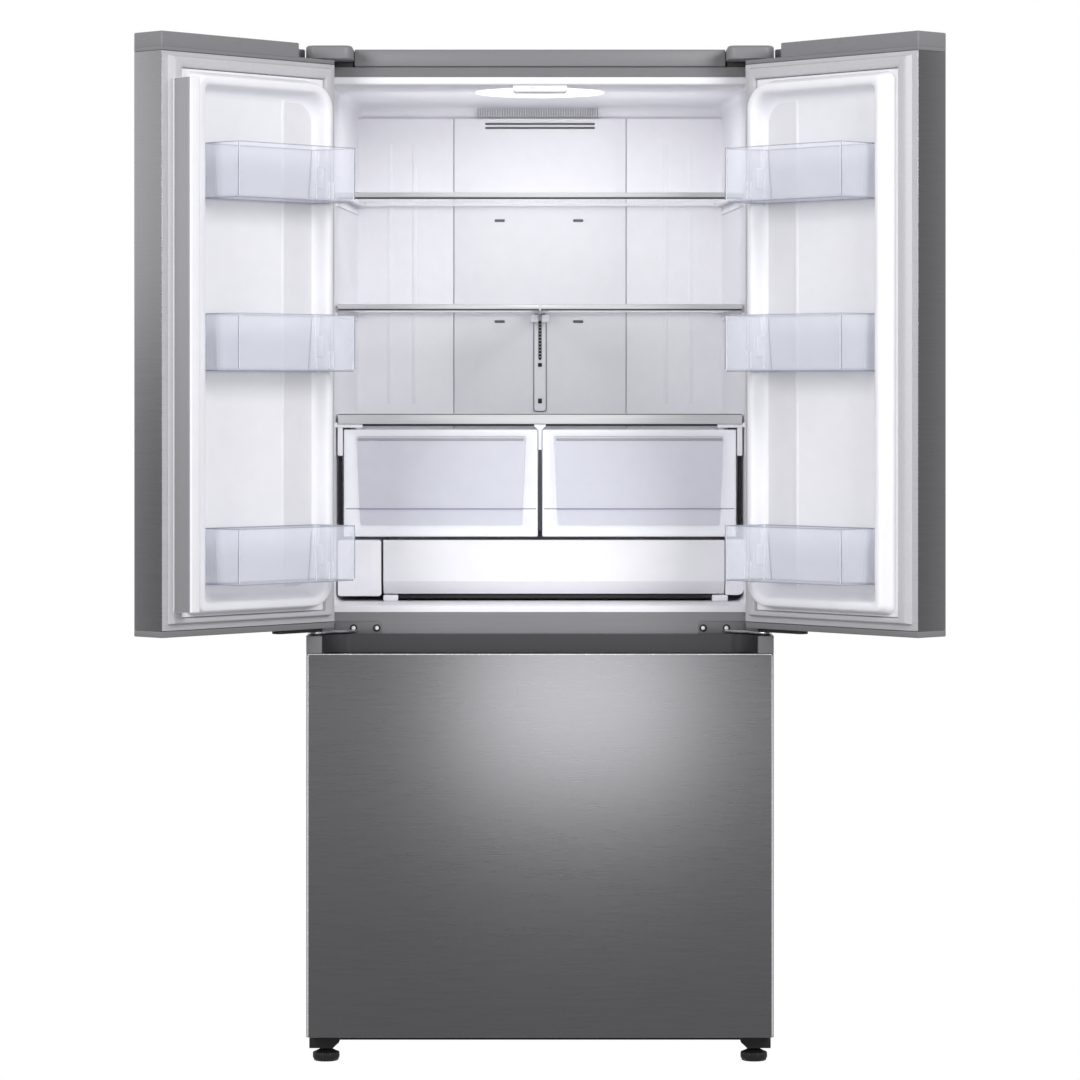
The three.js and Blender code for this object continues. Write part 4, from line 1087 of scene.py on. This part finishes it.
def door_bin(side, level):
    name = f"{side_name(side)}_bin_{level}"
    low, high = BIN_LEVELS[level]
    move = settle(side)
    outer = bin_outline()
    wall = 2.2
    bm = bmesh.new()
    foot = moved_in(outer, 2.4)
    inner = moved_in(outer, wall)
    inner_foot = moved_in(outer, wall + 2.4)
    loft(bm, [
        loop("z", moved_in(outer, 4.4), low), loop("z", foot, low + 1.6), loop("z", outer, high - 8),
        loop("z", outer, high), loop("z", inner, high), loop("z", inner, high - 8),
        loop("z", inner_foot, low + 5), loop("z", moved_in(outer, wall + 5), low + 3),
    ])
    piece(f"{name}_shell", bm, CLEAR, name, replaces=[name], move=move, smooth=40)
    rims = bmesh.new()
    for z0, z1, outset, inset in ((high - 1.4, high, 0, 2.6), (low, low + 2, 2.6, 5)):
        a = moved_in(outer, outset)
        b = moved_in(outer, inset)
        loft(rims, [loop("z", a, z0), loop("z", a, z1), loop("z", b, z1), loop("z", b, z0)], ends=False)
    for x in (BIN_WIDE[0] + 1.2, BIN_WIDE[1] - 2.2):
        block(rims, (x, x + 1), (BIN_FRONT - 3, BIN_FRONT - 1.6), (low + 4, high - 2))
    upright = (BIN_WIDE[0] + 0.62 * (BIN_WIDE[1] - BIN_WIDE[0]), BIN_FRONT - 3.4)
    slanted_rib(rims, upright, -7, (low + 4, high - 9))
    piece(f"{name}_rim", rims, CLEAR_EDGE, name, move=move, smooth=40)
    glints = bmesh.new()
    slanted_rib(glints, (upright[0] + 9, upright[1]), 2, (low + 4, high - 12))
    x = BIN_WIDE[1] - 54
    for dx in (-9, 0):
        pillow(glints, "y", (x + dx, x + dx + 1.4), (low + 5, low + 34), (BIN_FRONT - 3.6, BIN_FRONT - 2),
               0.6, 0.3, 3)
    for x in (BIN_WIDE[0] + 3, BIN_WIDE[1] - 5):
        block(glints, (x, x + 2), (BIN_FRONT - 3.2, BIN_FRONT - 2.2), (low + 4, high - 2))
    piece(f"{name}_ribs", glints, CLEAR_GLINT, name, move=move, smooth=40)


def slanted_rib(bm, foot, lean, z):
    """A fine rib inside a bin's front wall that leans sideways on its way up."""
    x, y = foot
    loops = []
    for at, shift in ((z[0], lean), (z[1], 0)):
        outline = [(x + shift, y), (x + shift + 1.2, y), (x + shift + 1.2, y + 1.2), (x + shift, y + 1.2)]
        loops.append(loop("z", outline, at))
    loft(bm, loops)


# ---------- the flap on the left door ----------
FLAP_X = (16.5, 40.5)
FLAP_Y = (85, 128)
FLAP_Z = limits("mullion_flap")[2]


def flap():
    """A white moulding with a metal face and a bright edge, on dark knuckles."""
    on_flap = {"body": "mullion_flap", "move": settle(-1)}
    low_x, high_x = FLAP_X
    low_y = FLAP_Y[0]
    bm = solid(rounded_prism, (low_x + 1.6, high_x), FLAP_Y, [3, 3, 5, 3], FLAP_Z, 2.5, 2.5)
    piece("flap_moulding", bm, WHITE, replaces=["mullion_flap"], **on_flap)
    y = grown(FLAP_Y, -3)
    face = solid(rounded_prism, (low_x, low_x + 2.4), y, [1, 0.6, 0.6, 1], grown(FLAP_Z, -1.5), 0.5, 0.5)
    piece("flap_face", face, FLAP, **on_flap)
    y = (low_y + 0.2, low_y + 3.1)
    edge = solid(rounded_prism, (low_x + 0.2, low_x + 3), y, [1] * 4, grown(FLAP_Z, -0.5), 0.5, 0.5)
    piece("flap_edge_strip", edge, WHITE, **on_flap)
    knuckle = bmesh.new()
    for z in (860, 1250, 1640):
        block(knuckle, (22.5, 30), (DOOR_THICK + 12.4, low_y + 2), (z - 22, z + 22))
    soften(knuckle, 1, 2)
    piece("flap_hinge_knuckles", knuckle, BLACK, "left_door", move=settle(-1))


# ---------- freezer drawer ----------
PANEL_BOTTOM, PANEL_TOP = limits("freezer_front")[2]
BAR_BOTTOM = PANEL_TOP + 0.3
BAR_TOP = limits("freezer_handle")[2][1]
SCOOP_HALF = 378
SCOOP_BACK = 52
LIP = 14
SCOOP_BOTTOM = 684


def freezer_front():
    bm = solid(rounded_prism, (-HALF, HALF), DOOR_Y, [5, 5, 2, 2], (PANEL_BOTTOM, PANEL_TOP), 1.2, 1.6)
    front = piece("freezer_steel_front", bm, STEEL, "freezer_drawer", replaces=["freezer_front"])

    def channel(bm):
        block(bm, (-SCOOP_HALF - 4.3, SCOOP_HALF + 4.3), (LIP - 0.3, SCOOP_BACK + 4.3),
              (SCOOP_BOTTOM - 4.3, PANEL_TOP + 5))

    carve(front, channel)
    # a strip of bright metal along the top edge and down the two upright corners: a painted highlight on
    # the steel front's rim
    highlight_z = (PANEL_TOP - 2, PANEL_TOP - 0.1)
    edge = solid(pillow, "x", (0.05, 2), highlight_z, (-HALF + 3, HALF - 3), 0.5, 0.4, 3)
    for sign in (-1, 1):
        outline = []
        for radius, start, end in ((5.1, 12, 38), (4.7, 38, 12)):
            for x, y in arc((0, 0), radius, start - 90, end - 90, 6):
                outline.append((sign * (HALF - 5 + x), 5 + y))
        prism(edge, "z", outline, (PANEL_BOTTOM + 1.5, PANEL_TOP - 2.2))
    piece("freezer_bright_edge", edge, BOLT, "freezer_drawer", slot="stainless_front")


def freezer_handle():
    bend = SCOOP_BACK - 4
    recess = 0.8  # the end plates stand this far in front of the bar
    outline = arc((-HALF + 5, 5 + recess), 5, 180, 270, 5)
    outline += [(-SCOOP_HALF - 0.6, recess), (-SCOOP_HALF, recess + 0.7)]
    outline += arc((-SCOOP_HALF + bend, SCOOP_BACK - bend), bend, 180, 90, 14)
    outline += arc((SCOOP_HALF - bend, SCOOP_BACK - bend), bend, 90, 0, 14)
    outline += [(SCOOP_HALF, recess + 0.7), (SCOOP_HALF + 0.6, recess)]
    outline += arc((HALF - 5, 5 + recess), 5, 270, 360, 5)
    outline += arc((HALF - 2, DOOR_THICK - 2), 2, 0, 90, 3)
    outline += arc((-HALF + 2, DOOR_THICK - 2), 2, 90, 180, 3)
    bm = solid(prism, "z", outline, (BAR_BOTTOM, BAR_TOP))
    piece("pull_bar", bm, HANDLE, "freezer_drawer", replaces=["freezer_handle"])
    trough = bmesh.new()
    outer = round_rect((-SCOOP_HALF - 4, SCOOP_HALF + 4), (LIP, SCOOP_BACK + 4), [1, 1, 2, 2])
    inner = round_rect((-SCOOP_HALF, SCOOP_HALF), (LIP + 3, SCOOP_BACK), [1, 1, 30, 30])
    tray(trough, outer, inner, (SCOOP_BOTTOM - 4, PANEL_TOP - 0.4), 4)
    piece("pull_trough", trough, HANDLE, "freezer_drawer")
    ends = bmesh.new()
    for sign in (-1, 1):
        x = on_side(sign, SCOOP_HALF + 1.6, HALF - 0.3)
        pillow(ends, "y", x, (BAR_BOTTOM + 0.5, BAR_TOP - 0.5), (0, 4), 2, 0.6, 3)
    piece("pull_end_plates", ends, CAP, "freezer_drawer")


def freezer_inside():
    half, bottom, top = 344, 116, 722
    bm = bmesh.new()
    u, v = (-half, half), (bottom, top)
    stations = [
        (grown(u, 5), grown(v, 5), 4, DOOR_THICK + 0.3), (grown(u, 5), grown(v, 5), 4, FLOOR_Y - 0.8),
        (grown(u, 4), grown(v, 4), 4, FLOOR_Y), (u, v, 20, FLOOR_Y), (u, v, 20, 104),
        (grown(u, -1.4), grown(v, -1.4), 19, 107), (grown(u, -4), grown(v, -4), 17, 108),
        (grown(u, -13), grown(v, -13), 14, 108), (grown(u, -16), grown(v, -16), 14, 104),
        (grown(u, -22), grown(v, -22), 14, FLOOR_Y + 4), (grown(u, -30), grown(v, -30), 14, FLOOR_Y),
    ]
    loft(bm, [ring("y", a, b, r, y) for a, b, r, y in stations])
    piece(
        "freezer_inner_liner", bm, WHITE, "freezer_drawer", replaces=["freezer_door_liner"],
        smooth=40,
    )
    outer = ((-HALF + 16, HALF - 16), (bottom - 30, top + 18))
    inner = (grown(u, 5.4), grown(v, 5.4))
    gasket("freezer_magnetic_gasket", outer, inner, "freezer_drawer", "freezer_gasket", None)


def basket(name, node, body, x, y, z, slot_name, material, slots):
    """A deep tub with a rolled rim, rounded corners and rows of slots in its front and back."""
    bm = bmesh.new()
    outer = round_rect(x, y, 22, 6)
    inner = round_rect(grown(x, -3.4), grown(y, -3.4), 19, 6)
    tray(bm, outer, inner, z, 4)
    tub = piece(name, bm, material, body, replaces=[node], slot=slot_name)
    if slots:
        def rows(bm):
            at = x[0] + 60
            while at < x[1] - 60:
                for row in range(slots):
                    low = z[0] + 45 + row * 62
                    pillow(bm, "y", (at, at + 26), (low, low + 8), (y[0] - 5, y[1] + 5), 3.9, 0.2, 4)
                at += 48
        carve(tub, rows)
    roll = solid(loft, [
        ring("z", grown(x, -a), grown(y, -a), 22 - a, z[1] - b)
        for a, b in ((0, 9), (0, 0.6), (0.6, 0), (6, 0), (6.6, 0.6), (6.6, 9))
    ], ends=False)
    piece(f"{name}_rim", roll, material, body, slot=slot_name)


def slide_members():
    for name in ("left", "right"):
        bm = bmesh.new()
        x, y, z = limits(f"freezer_slide_{name}")
        prism(bm, "y", [
            (x[0], z[0] + 2), (x[0] + 2, z[0]), (x[1] - 1, z[0]), (x[1], z[0] + 1), (x[1], z[1] - 1),
            (x[1] - 1, z[1]), (x[0] + 2, z[1]), (x[0], z[1] - 2), (x[0], z[1] - 9), (x[0] + 4, z[1] - 12),
            (x[0] + 4, z[0] + 12), (x[0], z[0] + 9),
        ], y)
        piece(
            f"slide_middle_{name}", bm, HINGE, f"freezer_slide_{name}",
            replaces=[f"freezer_slide_{name}"],
        )
    inner = bmesh.new()
    for sign in (-1, 1):
        pillow(inner, "y", on_side(sign, 321.5, 329.5), (337, 359), (112, 500), 2, 0.8, 3)
    piece("slide_inner_members", inner, HINGE, "freezer_drawer")


# ---------- feet ----------
FOOT = (375, 58)


def foot(side):
    name = side_name(side)
    body = f"foot_{name}"
    teeth = 30
    bm = bmesh.new()
    loops = []
    for radius, depth, z in (
        (20.4, 0, 0), (21.4, 0, 0.5), (22.2, 0.3, 3.4), (23.4, 1.3, 5.6), (23.4, 1.5, 12.5),
        (22.6, 0.9, 14.6), (19.5, 0, 15.6), (12.4, 0, 19.2), (10.6, 0, 20.8), (8, 0, 21),
    ):
        points = []
        for i in range(teeth * 4):
            angle = 2 * math.pi * i / (teeth * 4)
            r = radius - (depth if i % 4 in (0, 1) else 0)
            points.append((FOOT[0] + r * math.cos(angle), FOOT[1] + r * math.sin(angle)))
        loops.append(loop("z", points, z))
    loft(bm, loops)
    piece(
        f"levelling_foot_{name}", bm, BLACK, body, replaces=[f"foot_{name}"],
        move=mirror_move(side), slot="foot_black",
    )
    screw = bmesh.new()
    profile = [(5.2, 18)]
    z = 20.0
    while z < 45:
        profile += [(5.9, z), (5.9, z + 0.5), (5.0, z + 1.0), (5.0, z + 1.4)]
        z += 1.9
    profile += [(5.2, 46)]
    lathe(screw, "z", FOOT, profile, 24)
    piece(f"foot_screw_{name}", screw, HINGE, body, move=mirror_move(side))


def foot_bracket(side):
    """The moulded skirt round a foot, in front of the base frame's own bracket."""
    name = side_name(side)
    bm = bmesh.new()
    skirt = [(403.4, 24.6), (403.4, 46.4), (346.6, 46.4), (351.6, 33.6), (361.6, 24.6)]
    prism(bm, "y", skirt, (34.6, 36.4))
    for x in (360, 372, 384, 396):
        block(bm, (x - 1, x + 1), (34.8, 37), (26, 46))
    soften(bm, 0.6, 2)
    piece(f"foot_skirt_{name}", bm, BLACK, move=mirror_move(side))


def freezer_sill():
    """The painted strip under the freezer opening, in front of the foam."""
    bm = bmesh.new()
    span = (-FLANGE_HALF + 0.3, FLANGE_HALF - 0.3)
    z = (limits("foam_core")[2][0], limits("freezer_liner")[2][0] - 0.3)
    pillow(bm, "y", span, z, (CASE_FRONT, CASE_FRONT + 2.4), 1, 0.5, 3)
    piece("freezer_sill_strip", bm, CASE)


# ---------- CAD nodes that keep their shape ----------
KEPT = {
    "cabinet_wrapper": CASE, "back_panel": ZINC, "foam_core": FOAM, "freezer_liner": WHITE,
    "mullion_beam": FLANGE, "top_hinge_left": HINGE, "top_hinge_right": HINGE,
    "freezer_duct_cover": WHITE, "evaporator": FIN, "base_frame": BLACK, "compressor": BLACK,
    "condenser": FIN, "machine_cover": ZINC, "rear_rollers": BLACK, "evaporator_fan": BLACK,
    "condenser_fan": BLACK,
}


def dress_kept_nodes():
    for node, material in KEPT.items():
        mesh = frame["nodes"][node].data
        mesh.materials.clear()
        mesh.materials.append(material)


# ---------- surroundings, lights and camera ----------
# brightness of the surroundings from straight in front of the object to behind it, and the
# directions' y at the first and the last of these stops
WORLD_STOPS = ((0.0, 0.30), (0.43, 0.32), (0.66, 0.38), (1.0, 1.0))
WORLD_REACH = (-1.0, 0.5)
# how much darker it is low down on the camera's side, the directions' z between which it fades,
# and the directions' y between which the shade is undone
LOW_SHADE = 0.84
SHADE_HEIGHTS = (-0.25, -0.02)
SHADE_ENDS = (0.0, 0.4)


def world():
    """White behind the object, softer grey on the camera's side."""
    sky = bpy.data.worlds.new("studio")
    bpy.context.scene.world = sky
    sky.use_nodes = True
    tree = sky.node_tree
    way = add(tree, "SeparateXYZ", Vector=add(tree, "TexCoord").outputs["Generated"]).outputs
    colour = ramp(
        tree, ranged(tree, way["Y"], WORLD_REACH, (0.0, 1.0)),
        [(at, (grey, grey, grey)) for at, grey in WORLD_STOPS],
    )
    # the background stays white because the shade is undone behind the object
    strength = tree.nodes.new("ShaderNodeMath")
    strength.operation = "MAXIMUM"
    shade = ranged(tree, way["Z"], SHADE_HEIGHTS, (LOW_SHADE, 1.0))
    tree.links.new(shade, strength.inputs[0])
    tree.links.new(ranged(tree, way["Y"], SHADE_ENDS, (0.0, 1.0)), strength.inputs[1])
    feed(tree, tree.nodes["Background"], Color=colour, Strength=strength.outputs["Value"])


def area_light(name, at, aim, size, power, mirrored=True):
    """A soft panel at a place, aimed at another, in metres; shiny pieces may mirror it or not."""
    data = bpy.data.lights.new(name, "AREA")
    data.shape = "RECTANGLE"
    data.size, data.size_y = size
    data.energy = power
    light = bpy.data.objects.new(name, data)
    light.location = at
    light.visible_camera = False
    light.visible_glossy = mirrored
    light.rotation_euler = (Vector(aim) - Vector(at)).to_track_quat("-Z", "Y").to_euler()
    bpy.context.scene.collection.objects.link(light)


def lights():
    area_light("front_panel", (0.16, -4.2, 1.2), (0.16, 0, 1.2), (0.95, 1.4), 13)
    area_light("key_right", (2.7, -3.9, 2.9), (0, 0, 1.2), (2.0, 1.8), 140)
    area_light("fill_left", (-2.7, -3.9, 2.6), (0, 0, 1.2), (1.8, 1.8), 105)
    area_light("side_left", (-4.5, -0.4, 2.3), (-0.6, -0.2, 1.7), (3.0, 2.0), 16)
    area_light("low_fill", (0, -2.6, 0.1), (0, 0, 1.2), (2.4, 0.5), 7, False)
    # soft strips behind the front edges light the fresh food room
    y = (FRONT + 230) * MM
    back = (FRONT + ROOM_BACK) * MM
    for level in (ROOM_TOP - 46, UPPER_SHELF - 60, MIDDLE_SHELF - 60):
        z = level * MM
        area_light(f"room_strip_{level:.0f}", (0, y, z), (0, back, z - 0.12), (0.6, 0.03), 0.15, False)
    area_light("ceiling_strip", (0, y, (UPPER_SHELF + 12) * MM), (0, back, ROOM_TOP * MM), (0.6, 0.03),
               0.42, False)


# the camera looks level and straight at the doors; lengths are metres but for the lens's millimetres
EYE_DISTANCE = 6.925
EYE_HEIGHT = 1.1607
FOCAL_LENGTH = 132.7
SENSOR_WIDTH = 36
SHIFT_DOWN = -0.1315


def camera():
    data = bpy.data.cameras.new("camera")
    data.lens = FOCAL_LENGTH
    data.sensor_width = SENSOR_WIDTH
    data.shift_y = SHIFT_DOWN
    view = bpy.data.objects.new("camera", data)
    view.location = (0, FRONT * MM - EYE_DISTANCE, EYE_HEIGHT)
    view.rotation_euler = (math.radians(90), 0, 0)
    bpy.context.scene.collection.objects.link(view)
    bpy.context.scene.camera = view
    bpy.context.scene.view_settings.view_transform = "Standard"


def main():
    fresh_liner()
    cove_grille()
    top_cap()
    for side in (-1, 1):
        hinge_cover(side)
        mid_hinge(side)
        crisper_front(side)
        crisper_tray(side)
        door_shell(side)
        door_liner(side)
        door_gasket(side)
        for level in BIN_LEVELS:
            door_bin(side, level)
        foot(side)
        foot_bracket(side)
    duct_cover()
    shelf_track()
    lamp()
    flap_guide()
    shelves()
    crisper_lid()
    crisper_supports()
    pantry()
    filter_cover()
    flap()
    freezer_front()
    freezer_handle()
    freezer_inside()
    freezer_sill()
    basket("freezer_tub", "freezer_basket", "freezer_drawer", (-321, 321), (118, 415), (122, 390),
           "liner_white", WHITE, 4)
    basket("freezer_tray", "freezer_upper_drawer", "freezer_upper_drawer", (-321, 321), (118.5, 499.5),
           (430, 620), "clear_plastic", MILKY, 0)
    slide_members()
    dress_kept_nodes()
    world()
    lights()
    camera()


main()
